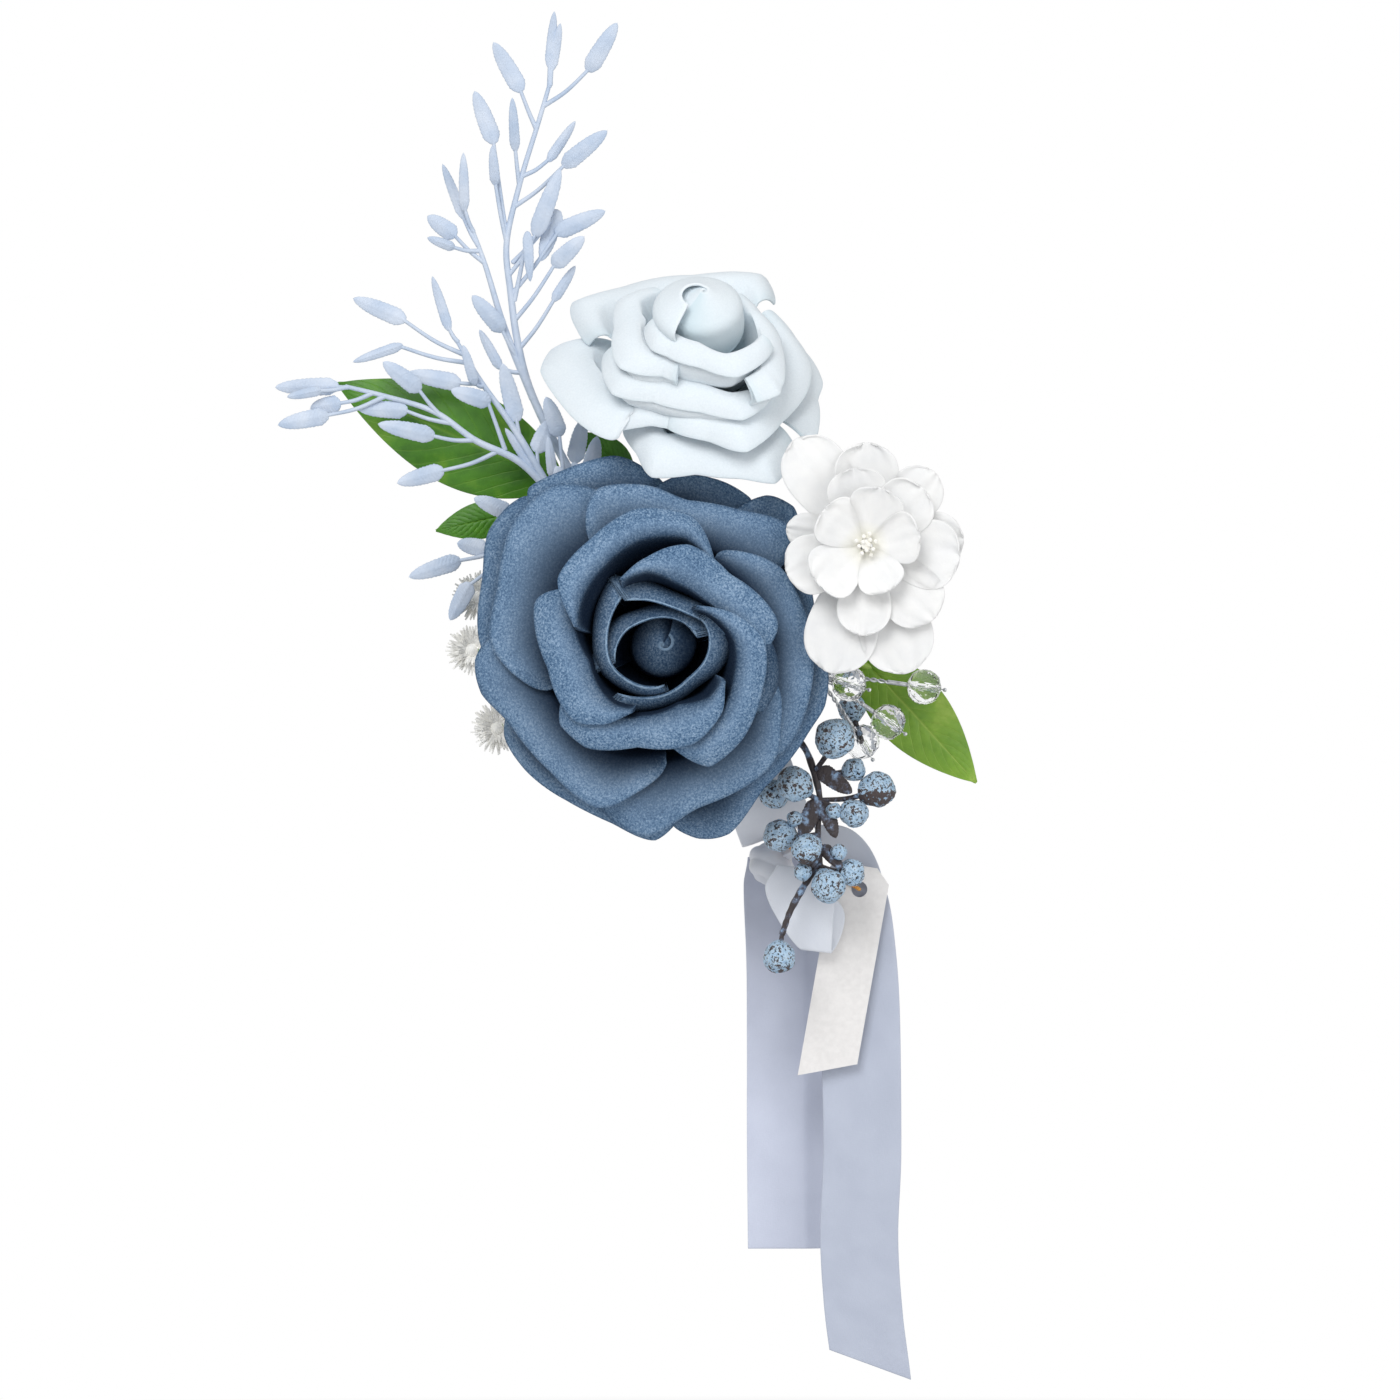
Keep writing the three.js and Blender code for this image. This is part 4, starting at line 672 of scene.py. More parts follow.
# Pale petals: pixels along each border, clockwise, with the width of the lip in pixels
PALE_PETALS = {
    "inner": [
        [(772, 350, 8), (766, 361, 16), (736, 380, 24), (700, 370, 24), (668, 359, 22), (652, 352, 18),
         (646, 330, 10)],
    ],
    "second": [
        [(676, 384, 8), (662, 378, 20), (620, 370, 34), (615, 331, 30), (618, 303, 24), (650, 292, 10)],
        [(744, 300, 8), (762, 318, 16), (782, 352, 24), (783, 385, 30), (778, 397, 30), (756, 405, 24)],
    ],
    "third": [
        [(770, 398, 8), (764, 408, 14), (742, 422, 26), (700, 414, 30), (654, 404, 30), (613, 396, 26),
         (605, 356, 12)],
    ],
    "fourth": [
        [(776, 318, 8), (796, 341, 20), (810, 365, 28), (806, 394, 34), (781, 424, 38), (746, 454, 40),
         (708, 443, 34), (668, 430, 30)],
        [(590, 346, 8), (578, 330, 24), (572, 304, 34), (620, 289, 34), (692, 277, 30), (738, 274, 28),
         (765, 277, 30), (774, 304, 24)],
    ],
    "outer": [
        [(684, 431, 10), (652, 427, 24), (623, 432, 30), (609, 441, 40), (560, 403, 48), (541, 372, 52),
         (552, 350, 44), (580, 348, 20)],
    ],
    "last": [
        [(794, 448, 16), (788, 468, 34), (775, 485, 46), (740, 480, 46), (696, 476, 44), (652, 479, 44),
         (638, 456, 34), (624, 432, 16)],
        [(802, 350, 16), (822, 383, 34), (817, 402, 36), (816, 440, 44), (811, 450, 30)],
    ],
}


def growth(ring):
    """How much further out a petal's foot ends than it starts."""
    return 2 * (FOAM + SEAT) * ring[5]


def feet_of(rings):
    feet, radius = {}, BUD_RADIUS + SEAT + FOAM / 2
    for name, ring in rings.items():
        feet[name] = radius
        radius += growth(ring) + FOAM + SEAT
    return feet


def petal_heights(radius, ring, u):
    """The heights of a petal's ridge and of its border at share u."""
    top = radius * (ring[1] - ring[2] * np.maximum(u, 0) ** 1.5)
    return top, top - radius * (ring[3] + (ring[4] - ring[3]) * u)


def bend(a, b, c, t):
    return (1 - t) ** 2 * a + 2 * t * (1 - t) * b + t * t * c


def crisp_value(values, u, crisp):
    """The value at share u of a row: between its smooth curve and straight steps from one to the next."""
    straight = np.interp(np.clip(u, 0, 1), np.linspace(0, 1, len(values)), values)
    return crisp * straight + (1 - crisp) * smooth(values, u)


def turned(angle, reach, height, shift=(0, 0)):
    return np.stack([reach * np.cos(angle) + shift[0], reach * np.sin(angle) + shift[1], height], -1)


def petal(radius, ring, foot, stations, ripple, phase, look):
    """One foam petal, seen from its foot up its wall, over its ridge and down its lip to its border."""
    (shade_from, shade_to, corner, dive, taper, belly, tall, crisp,
     rim_light, ridge_light, ridge_width, front_belly) = look
    angles, ridges, borders = zip(*stations)

    def surface(u, v):
        share = np.clip(u, 0, 1)
        end = np.clip((np.abs(2 * share - 1) - 1 + corner) / corner, 0, 1)
        v = v * (1 - dive * (end ** 2.2 if rim_light else 1 - np.sqrt(1 - 0.999 * end * end)))
        angle = np.radians(smooth(angles, u))
        ridge = radius * crisp_value(ridges, u, crisp)
        border = radius * crisp_value(borders, u, crisp)
        border = ridge + (border - ridge) * (1 - taper * end ** 1.5)
        front = np.clip(0.3 - np.sin(angle), 0, 1) if front_belly else 0 * angle
        base = foot + growth(ring) * share
        top, brink = petal_heights(radius, ring, u)
        low = radius * ring[0]
        wall = np.clip(v / WALL_END, None, 1)
        lip = np.clip((v - WALL_END) / (1 - WALL_END), 0, None)
        bulge = base + belly * (ridge - base) + front_belly * front * (border - ridge)
        roll = ridge + LIP_SHARE * (border - ridge)
        shoulder = low + (tall - 0.38 * front) * (top - low)
        reach = np.where(v < WALL_END, bend(base, bulge, ridge, wall), bend(ridge, roll, border, lip))
        height = np.where(v < WALL_END, bend(low, shoulder, top, wall), bend(top, top, brink, lip))
        wave = np.sin(5.3 * math.pi * u + phase) + 0.6 * np.sin(11.7 * math.pi * u + 2.3 * phase)
        height = height + ripple * wave * lip ** 2
        reach = reach + 0.5 * ripple * np.sin(8.1 * math.pi * u + 1.7 * phase) * lip ** 2
        return turned(angle, reach, height)

    points, faces, values = sheet(surface, *PETAL_GRID, PETAL, edge=0.012, side_edge=0.012)
    out, across = values["out"], values["across"]
    # Painted shade: darker down the wall and at the tucked-in ends, on the inner face of walls in rings with
    # a rim light, else in a thin dark line along the border; painted highlights on the ridge and on the rim
    tucked = ease(np.minimum(across / 0.16, (1 - across) / 0.1))
    tone = ease((out - shade_from) / (shade_to - shade_from))
    tone = tone * (0.5 + 0.5 * tucked) - 0.3 * ease((out - 0.95) / 0.04) * (1 - rim_light)
    if rim_light:
        front, back = np.split(np.hypot(points[:, 0], points[:, 1]), 2)
        inside = np.concatenate([front < back, back < front])
        tone = np.where(inside & (out < 0.98 * WALL_END), INSIDE_SHADE * tone, tone)
    fading = ease(np.minimum(across, 1 - across) / (0.4 * corner))
    values["tone"] = np.clip(tone, 0, 1)
    values["lit"] = ridge_light * np.exp(-(((out - 0.62) / ridge_width) ** 2)) * tucked
    values["rim"] = rim_light * (out > 0.6) * (0.55 + 0.45 * np.sin(31 * across + phase) ** 2) * fading
    return points, faces, values


def pale_stations(border_pixels, ring):
    """A petal's stations in the rose's own plane, from the pixels of its border."""
    before, stations = math.inf, []
    last = len(border_pixels) - 1
    for i, (x, y, lip) in enumerate(border_pixels):
        if i in (0, last):
            lip = max(lip, SQUARE_END * border_pixels[1 if i == 0 else -2][2])
        point = place(x, y, 0)
        brink = petal_heights(PALE_RADIUS, ring, i / last)[1]
        across = point[0] - PALE_PLACE[0]
        up = (point[2] - PALE_PLACE[2] - brink * math.sin(PALE_ANGLE)) / math.cos(PALE_ANGLE)
        angle = math.degrees(math.atan2(up, across))
        while angle > before:
            angle -= 360
        before = angle
        border = math.hypot(across, up)
        stations.append((angle, (border - lip * SCALE) / PALE_RADIUS, border / PALE_RADIUS))
    return stations


def shaded(part, tone):
    """A plain foam part with one even level of painted shade and no painted highlights."""
    count = len(part[0])
    return part[0], part[1], {"tone": np.full(count, tone), "lit": np.zeros(count), "rim": np.zeros(count)}


def core(radius, rings, foot_radius, foot_length):
    """The stepped cone that the petals' feet stand round, on its own foot."""
    feet = feet_of(rings)
    profile = [(0, -foot_length), (foot_radius, -foot_length)]
    for name, ring in reversed(list(rings.items())):
        tread = radius * ring[0] - SEAT - FOAM / 2
        profile += [(feet[name] + growth(ring) + FOAM / 2, tread), (feet[name] - FOAM / 2 - SEAT, tread)]
    return lathe([*profile, (0, profile[-1][1])], 40)


def rolled_bud(foot, height, bulge, start, closing, lightest, slit, shift, lean, painted_side_shade):
    """A strip of foam rolled up: it bulges below its mouth, closes towards it, and its free edge stands off.

    Start and lean are angles in degrees, and the last argument is how much painted shade darkens its left and
    right sides.
    """
    outlines = [0.8, 0.88, 0.97, 1.0, 0.97, 0.86, 1 - closing]
    gap = PETAL * 1.05
    narrow = BUD_RADIUS / bulge

    def surface(u, v):
        unrolled = 2 * math.pi * BUD_TURNS * (1 - u)
        angle = math.radians(start) - unrolled + math.radians(lean) * np.clip(v, 0, 1) ** 2
        winding = gap * BUD_TURNS * (1 - u)
        outline = (bulge - FOAM / 2) * smooth(outlines, v) * (narrow + (1 - narrow) * ease(v / 0.5))
        loose = slit * ease((u - 0.78) / 0.22) * ease((v - 0.35) / 0.65)
        reach = np.maximum(outline - winding, 0.1 * (1 - u)) + loose
        rise = foot + (height - foot) * v - 0.3 * winding * ease((v - 0.5) / 0.5)
        sway = ease(v / 0.6)
        return turned(angle, reach, rise, (shift[0] * sway, shift[1] * sway))

    points, faces, values = sheet(surface, *BUD_GRID, PETAL, edge=0.02, side_edge=0.008)
    # Painted shade: darker towards the foot, on the inner turns, in the slit by the free edge and on the left
    # and right sides; a painted highlight along the top rim
    out, across = values["out"], values["across"]
    past = across - (1 - 1 / BUD_TURNS)
    gap_shade = 0.95 * np.exp(-((past / (0.008 + slit * 0.014 * out)) ** 2)) * (past > -0.01)
    tone = lightest * ease((out - 0.4) / 0.6) * (0.3 + 0.7 * ease((across - 0.1) / 0.5)) * (1 - gap_shade)
    side = np.abs(points[:, 0] - shift[0]) / bulge
    values["tone"] = tone * (1 - painted_side_shade * ease((side - 0.08) / 0.62))
    values["lit"] = 0 * out
    values["rim"] = 0.35 * (out > 0.985)
    return points, faces, values


def rose(prefix, radius, rings, stations, finish, turn, shift, ripple, bud, core_foot, core_painted_light):
    """A rose's petals, its bud and its core."""

    def foam_piece(name, ending, part):
        label = f"{prefix}_{name}"
        piece(f"{label}_{ending}", moved(part, turn, shift), finish, nodes=[label])

    feet = feet_of(rings)
    number = 0
    for name, petals in stations.items():
        look = LOOKS.get(f"{prefix[:4]}_{name}", LOOKS["pale"])
        wave = ripple * (0.25 if name in ("wrap", "inner") else 1.0)
        for i, rows in enumerate(petals):
            number += 1
            part = petal(radius, rings[name], feet[name], rows, wave, 1.3 * number, look)
            foam_piece(f"{name}_petal_{i + 1}", "foam", part)
    innermost = next(iter(rings.values()))
    foam_piece("bud", "foam", rolled_bud(radius * innermost[0] - FOAM / 2 + SEAT, **bud))
    # The core takes one even level of painted shade: full on the blue rose, slight on the pale one.
    foam_piece("core", "fine", shaded(core(radius, rings, *core_foot), core_painted_light))


blue_rows = {
    name: [[(angle, ridge / 1000, border / 1000) for angle, ridge, border in rows] for rows in petals]
    for name, petals in BLUE_PETALS.items()
}
blue_turn = turn_about_x(math.pi / 2)
rose(
    "blue_rose", BLUE_RADIUS, BLUE_RINGS, blue_rows, blue_foam, blue_turn, BLUE_PLACE, ripple=0.1,
    bud=BLUE_BUD, core_foot=(6.0, BLUE_FOOT), core_painted_light=0.0,
)
pale_turn = turn_about_x(math.pi / 2 - PALE_ANGLE)
pale_rows = {
    name: [pale_stations(rows, PALE_RINGS[name]) for rows in petals]
    for name, petals in PALE_PETALS.items()
}
rose(
    "pale_rose", PALE_RADIUS, PALE_RINGS, pale_rows, pale_foam, pale_turn, PALE_PLACE, ripple=0.04,
    bud=PALE_BUD, core_foot=(3.0, 1.5), core_painted_light=0.8,
)


def lining(from_degrees, to_degrees, low, high, near, far, lean):
    """A curved wall of foam that closes the deep gap under the inner lips, further out on its right."""

    def surface(u, v):
        angle = np.radians(from_degrees + (to_degrees - from_degrees) * u)
        reach = near + (far - near + lean * np.clip(np.cos(angle + 0.26), 0, 1) ** 3) * v
        return turned(angle, reach, low + (high - low) * v)

    # The lining takes one even level of painted shade.
    return shaded(sheet(surface, 40, 12, PETAL), 0.6)


pale_lining = lining(25, -115, low=9.0, high=18.5, near=9.0, far=12.6, lean=3.6)
piece("pale_rose_lining", moved(pale_lining, pale_turn, PALE_PLACE), pale_foam)
stem_points = [*stem_way(PALE_STEM, PALE_STEM_RADIUS, len(PALE_STEM), 0), np.array(PALE_PLACE)]
piece("pale_rose_stem", rod(stem_points, 30, PALE_STEM_RADIUS, 14), core_green)

# Leaves and sprigs

LEAF_PIXELS = {
    "leaf_left_upper": [(609, 604), (594, 592), (574, 555), (560, 482), (336, 382)],
    "leaf_left_lower": [(600, 628), (583, 620), (550, 580), (515, 512), (435, 530)],
    "leaf_middle": [(657, 562), (651, 538), (632, 470), (578, 432)],
    "leaf_right": [(782, 646), (800, 643), (860, 655), (977, 783)],
}
LEAF_WIDTH_SHARES = {"leaf_left_upper": 0.4, "leaf_left_lower": 0.45, "leaf_middle": 0.5, "leaf_right": 0.42}
LEAF = 0.5
LEAF_STEM = 0.8
LEAF_DEPTH = 17.0
RIGHT_LEAF_DEPTH = 21.0
LEAF_VEINS = 11


def leaf(name, depth):
    """A blade between the last two pixels of its row, quilted by its veins, on a stem along the others."""
    pixels = LEAF_PIXELS[name]
    base, tip = (place(x, y, depth) for x, y in pixels[-2:])
    length = np.linalg.norm(tip - base)
    along = unit(tip - base)
    across = np.array([-along[2], 0, along[0]])
    forward = np.array([0.0, -1, 0])

    def surface(u, v):
        share = np.clip(v, 0, 1)
        belly = np.sin(math.pi * share ** 0.8) ** 0.9 + 0.08 * (1 - share ** 6)
        half = LEAF_WIDTH_SHARES[name] * length * np.maximum(belly, 0.012) / 2.16
        side = 2 * u - 1
        slant = LEAF_VEINS * share - 3 * np.abs(side)
        furrow = np.abs((slant % 1) - 0.5) * 2
        quilt = 0.16 * (furrow ** 0.5) * (1 - np.abs(side) ** 4) * np.sin(math.pi * share)
        keel = -0.35 * np.exp(-((side / 0.07) ** 2)) * (1 - share)
        rise = 0.06 * length * np.sin(math.pi * v) - 0.12 * half * side * side + quilt + keel
        wave = 0.012 * length * np.sin(3 * math.pi * share + 0.8) * side
        flat = base + along * (v * length)[..., None] + across * (half * side)[..., None]
        return flat + forward * (rise + wave)[..., None]

    blade = sheet(surface, 40, 90, LEAF, edge=0.01, side_edge=0.02)
    points = stem_way(pixels[:-2], LEAF_STEM, 2, (PAD_FACE + SEAT + LEAF_STEM + depth) / 2)
    stem = rod([*points, base + along * 0.1 * length], 26, LEAF_STEM, 12)
    stem[2].update(across=np.full(len(stem[0]), 0.5), out=np.zeros(len(stem[0])))
    return merged([blade, stem])


for name in LEAF_PIXELS:
    right = name == "leaf_right"
    part = leaf(name, RIGHT_LEAF_DEPTH if right else LEAF_DEPTH)
    piece(name + "_veined", part, leaf_light if right else leaf_green, nodes=[name])

# Sprigs: pixels of their stems, and each leaflet's place on the stem, base and tip
TALL_STEMS = [
    [(640, 574), (610, 535), (575, 480), (530, 390), (517, 340), (510, 290), (506, 245), (519, 184),
     (539, 118), (549, 84)],
    [(533, 398), (505, 330), (485, 265), (472, 228)],
]
TALL_LEAFLETS = [
    (549, 86, 549, 66, 554, 10), (543, 105, 588, 70, 617, 22), (536, 128, 521, 90, 493, 41),
    (519, 184, 515, 150, 512, 97), (506, 235, 494, 142, 474, 90), (506, 240, 495, 184, 492, 145),
    (522, 175, 548, 160, 575, 120), (512, 207, 563, 165, 607, 130), (478, 245, 463, 217, 442, 163),
    (473, 231, 464, 210, 463, 152), (484, 262, 455, 235, 427, 215), (508, 275, 535, 235, 560, 168),
    (510, 295, 555, 232, 605, 210), (514, 320, 553, 265, 584, 236), (519, 348, 553, 300, 575, 265),
    (518, 360, 503, 330, 472, 295), (550, 84, 551, 69, 560, 22), (478, 250, 454, 247, 427, 237),
    (512, 262, 557, 209, 541, 260), (514, 300, 527, 231, 530, 281), (523, 372, 500, 368, 479, 329),
    (590, 508, 588, 480, 597, 436), (575, 480, 574, 462, 583, 418), (600, 522, 596, 500, 572, 462),
]
LEFT_STEMS = [
    [(620, 590), (590, 548), (556, 500), (520, 462), (475, 440), (435, 412), (385, 396), (345, 386)],
    [(556, 500), (515, 430), (480, 380), (455, 338)],
    [(556, 500), (541, 526), (516, 543), (488, 550)],
]
LEFT_LEAFLETS = [
    (458, 342, 449, 330, 432, 276), (484, 386, 475, 385, 463, 345), (465, 355, 405, 320, 353, 298),
    (470, 363, 402, 345, 353, 362), (480, 382, 460, 383, 407, 373), (440, 415, 420, 390, 383, 362),
    (348, 387, 338, 386, 275, 387), (385, 396, 328, 415, 278, 425), (450, 423, 407, 410, 357, 408),
    (475, 440, 434, 436, 378, 424), (500, 450, 443, 470, 397, 483), (538, 530, 510, 513, 474, 498),
    (492, 550, 486, 549, 457, 543), (514, 544, 460, 560, 409, 577), (520, 541, 470, 583, 450, 620),
    (345, 387, 321, 390, 287, 397), (372, 393, 340, 403, 310, 408), (505, 450, 490, 402, 451, 390),
    (520, 440, 517, 421, 502, 363), (566, 500, 560, 436, 546, 397), (540, 480, 534, 470, 505, 428),
    (560, 500, 553, 478, 548, 436), (540, 478, 536, 452, 549, 420), (575, 522, 570, 500, 556, 466),
]
# The leaflets that are seen from their edge, and so are narrower
EDGE_ON = {"tall": (0, 3, 5, 6, 8, 9, 14, 16, 17, 19, 20), "left": (0, 1, 3, 15, 20, 21)}
SPRIG_STEM = 0.8
SPRIG_TWIG = 0.4
TALL_DEPTH = 21.5
LEFT_DEPTH = 26.5
LEAFLET_WIDTH = 3.4
LEAFLET_THICKNESS = 1.2
LEAFLET_SPREAD = 3.0
EAR_RIBS = 13


def ear(base, tip, width, thickness, seed):
    """A flat leaflet like an ear of grass, with ribs that slant from its middle and small teeth."""
    length = np.linalg.norm(tip - base)
    up = unit(tip - base)
    side = unit(np.array([up[2], 0, -up[0]]))
    front = np.cross(side, up)
    rows, sides = 46, 28
    s = np.linspace(0, 1, rows)[:, None]
    angle = (np.arange(sides) * 2 * math.pi / sides)[None, :]
    from_middle = np.abs(np.cos(angle))
    outline = np.minimum(1.0, 5.5 * s + 0.16) ** 0.5 * np.clip(1.0 - s ** 3.6, 0, 1) ** 0.62
    outline = np.maximum(outline, 0.03)
    teeth = 1 + 0.1 * ((s * EAR_RIBS + 0.37 * seed) % 1) * from_middle ** 6
    x = width / 2 * outline * np.cos(angle) * teeth
    ribs = 0.7 * np.abs(((s * EAR_RIBS + 1.4 * from_middle + 0.37 * seed) % 1) - 0.5)
    y = thickness / 2 * outline ** 0.7 * np.sin(angle) * (0.7 + ribs)
    y = y + 0.12 * thickness * np.exp(-((np.cos(angle) / 0.16) ** 2)) * np.sign(np.sin(angle)) * outline
    bow = 0.05 * length * np.sin(math.pi * s) * (1 if seed % 2 else -1)
    points = base + (s * length)[..., None] * up + x[..., None] * side + (y + bow)[..., None] * front
    return np.vstack([points.reshape(-1, 3), base - 0.2 * up, tip + 0.15 * up]), skin(rows, sides), {}


def sprig(name, stems, leaflets, depth):
    """A moulded sprig: stems that thin out, and leaflets on curved twigs, every other one further forward."""
    parts = []
    for branch, pixels in enumerate(stems):
        t = np.linspace(0, 1, 12 * len(pixels))
        points = stem_way(pixels, SPRIG_STEM, 0 if branch else 2, depth)
        parts.append(rod(points, len(t), SPRIG_STEM * (1.3 - 0.75 * t) * (0.85 if branch else 1), 12))
    for i, (x, y, base_x, base_y, tip_x, tip_y) in enumerate(leaflets):
        swing = LEAFLET_SPREAD if i % 2 else 0
        start = place(x, y, depth)
        base = place(base_x, base_y, depth + swing / 2)
        tip = place(tip_x, tip_y, depth + swing)
        middle = (start + base) / 2 + np.array([0, 0, -0.05 * np.linalg.norm(base - start)])
        twig = [start, middle, base + 0.06 * (tip - base)]
        parts.append(rod(twig, 14, SPRIG_TWIG * np.linspace(1.3, 0.95, 14), 8))
        width = LEAFLET_WIDTH * (0.62 if i in EDGE_ON[name] else 1.05)
        parts.append(ear(base, tip, width, LEAFLET_THICKNESS, i))
    return merged(parts)


for name, stems, leaflets, depth in (
    ("tall", TALL_STEMS, TALL_LEAFLETS, TALL_DEPTH), ("left", LEFT_STEMS, LEFT_LEAFLETS, LEFT_DEPTH),
):
    part = sprig(name, stems, leaflets, depth)
    piece(f"sprig_{name}_fine", part, sprig_blue, nodes=[f"plastic_sprig_{name}"],
          sharp=60)

# Blossom

SILK = 0.5
BLOSSOM_PIXEL = (865, 546)
CREST_DEPTH = PAD_FACE + SEAT + BLUE_FOOT + BLUE_RADIUS * BLUE_RINGS["outer"][1]
BACK_CUP, OUTER_CUP, INNER_CUP = 2.0, 3.0, 5.0
BACK_DEPTH = CREST_DEPTH - 0.6
BLOSSOM_DEPTH = BACK_DEPTH + BACK_CUP + SILK
BLOSSOM_STEM = 1.05

# Layers: each petal's tip as a pixel and its width in degrees, with the layer's cup and depth
BLOSSOM_LAYERS = {
    "back_blossom_petals": (
        [(962, 540, 50), (934, 474, 46), (866, 444, 52), (794, 441, 44), (786, 528, 40), (829, 673, 46),
         (908, 673, 46)], BACK_CUP, BACK_DEPTH),
    "blossom_outer_petals": (
        [(958, 560, 60), (922, 490, 60), (852, 470, 62), (786, 574, 58), (862, 636, 50), (932, 620, 52)],
        OUTER_CUP, BLOSSOM_DEPTH),
    "blossom_inner_petals": (
        [(918, 536, 74), (880, 490, 72), (822, 512, 74), (816, 584, 72), (886, 592, 72)],
        INNER_CUP, BLOSSOM_DEPTH + 3 * SILK),
}


def silk_petal(length, angle, width, cup, seed):
    """One fabric petal from the hub outwards, crowned and wrinkled, in the layer's plane, and its area."""
    broad = 0.66 * length * math.tan(width / 2)
    hub = BLOSSOM_STEM + SEAT
    phases = np.random.default_rng(100 + seed).uniform(0, 2 * math.pi, 8)
    c, s = math.cos(angle), math.sin(angle)

    def surface(u, v):
        side = 2 * u - 1
        share = np.clip(v, 0, 1)
        # the petal's outline: narrow at the hub, broad at two thirds, blunt at its end
        half = broad * (0.3 + 0.7 * np.sin(math.pi * share ** 0.9 * 0.62) ** 1.1)
        end = length * (1 - 0.03 * np.abs(side) ** 2.4)
        bluntness = np.clip(1 - (np.clip(share - 0.55, 0, None) / 0.452) ** 3.2, 0, 1) ** 0.36
        reach = hub + (end - hub) * v
        across = half * side * np.maximum(bluntness, 0.14)
        wrinkle = 0.16 * np.sin(7 * side + phases[2] + 2 * share) * share
        wrinkle = wrinkle + 0.10 * np.sin(13 * side + phases[3] - 3 * share) * share
        wave = 0.45 * np.sin(2.6 * side + phases[4]) * share ** 2
        crown = 0.07 * broad * side ** 2 * np.sin(math.pi * share * 0.8)
        curl = -0.07 * length * np.clip(share - 0.72, 0, None) / 0.28 * (0.6 + 0.4 * np.cos(phases[5]))
        pinwheel = 0.32 * side * share
        height = cup * share ** 1.6 + wrinkle + wave + crown + curl + pinwheel
        return np.stack([reach * c - across * s, reach * s + across * c, height], -1)

    grid = np.linspace(0, 1, 80)
    flat = surface(*np.meshgrid(grid, grid, indexing="ij"))
    cells = np.cross(np.gradient(flat, axis=0), np.gradient(flat, axis=1))
    area = float(np.linalg.norm(cells, axis=-1).sum())
    return sheet(surface, 26, 30, SILK * 0.8, edge=0.012, side_edge=0.02), area


def blossom_layer(tips, cup, seed):
    """A ring of petals, its flat area and how far it reaches."""
    centre = place(*BLOSSOM_PIXEL, 0)
    parts, area, reach = [], 0.0, 0.0
    for i, (x, y, degrees) in enumerate(tips):
        tip = place(x, y, 0) - centre
        length = float(np.hypot(tip[0], tip[2]))
        reach = max(reach, length)
        angle = math.atan2(tip[2], tip[0])
        part, petal_area = silk_petal(length, angle, math.radians(degrees), cup, seed + i)
        parts.append(part)
        area += petal_area
    return merged(parts), area, reach


for number, (name, (tips, cup, depth)) in enumerate(BLOSSOM_LAYERS.items()):
    layer, area, reach = blossom_layer(tips, cup, 20 * number)
    layer = moved(layer, turn_about_x(math.pi / 2), place(*BLOSSOM_PIXEL, depth))
    made = piece(name + "_silk", layer, white_silk, nodes=[name], sharp=60)

BLOSSOM_STEM_PIXELS = [(775, 612), (812, 590), (848, 562), (865, 546), (865, 546)]
BLOSSOM_STEM_SHARES = (0, 0, 0.15, 0.55, 0.82)
STAMEN_RADIUS = 4.5
STAMEN_HEIGHT = 4.5
STAMENS = 12
STAMEN_HEAD = [(0, -0.42), (0.3, -0.36), (0.48, 0), (0.32, 0.38), (0, 0.46)]
GOLDEN_ANGLE = 2.399963


def blossom_centre():
    """The stem that rises from the pad through the fabric layers."""
    top = place(*BLOSSOM_PIXEL, BLOSSOM_DEPTH)
    seat_depth = PAD_FACE + SEAT + BLOSSOM_STEM
    points = [
        place(x, y, seat_depth + share * (BLOSSOM_DEPTH - seat_depth))
        for (x, y), share in zip(BLOSSOM_STEM_PIXELS, BLOSSOM_STEM_SHARES)
    ]
    return rod([*points, top, top + np.array([0, -STAMEN_HEIGHT, 0])], 60, BLOSSOM_STEM, 12)


def stamen_tuft():
    """Short stamens with round heads, packed into the blossom's heart."""
    parts = []
    foot = place(*BLOSSOM_PIXEL, BLOSSOM_DEPTH + STAMEN_HEIGHT - 3.0)
    for i in range(STAMENS):
        spread = math.sqrt((i + 0.5) / STAMENS)
        angle = i * GOLDEN_ANGLE
        out = np.array([math.cos(angle) * spread, 0, math.sin(angle) * spread])
        rise = 3.6 * math.sqrt(max(1 - 0.8 * spread ** 2, 0)) + 0.5 * math.sin(3.1 * i)
        tip = foot + out * STAMEN_RADIUS * 0.55 + np.array([0, -rise, 0])
        halfway = foot + out * 2.6 + np.array([0, -rise * 0.6, 0])
        path = spline([foot + out * 1.2, halfway, tip], np.linspace(0, 1, 8))
        parts.append(tube(path, np.linspace(0.28, 0.2, 8), 6))
        parts.append(moved(lathe(STAMEN_HEAD, 8), basis(path[-1] - path[-2]), tip))
    return merged(parts)


piece("blossom_centre_fine", blossom_centre(), stamen_cream, nodes=["blossom_centre"])
piece("blossom_stamens", stamen_tuft(), stamen_cream)

# Florets

# Each floret's heart and the start of its stem, as pixels; the top one is hidden by half and has no node
FLORETS = {
    "floret_upper": ((472, 650), (590, 660)), "floret_lower": ((497, 728), (594, 692)),
    "floret_top": ((477, 597), (590, 640)),
}
FLORET_RADIUS = 5.5
FLORET_DEPTH = 28.0
HIDDEN_BACK = 7.0
FRINGE_START = 0.7
FRINGE_THICKNESS = 0.22
HEART = [(0, -1.2), (0.9, -0.9), (1.5, 0), (1.2, 0.8), (0.5, 1.3), (0, 1.4)]
# The fringe's rings: how many blades, how long as a share of the radius, and how far forward their tips rise
FRINGE_RINGS = ((44, 1.0, 1.2), (34, 0.85, 2.2), (24, 0.6, 3.0))


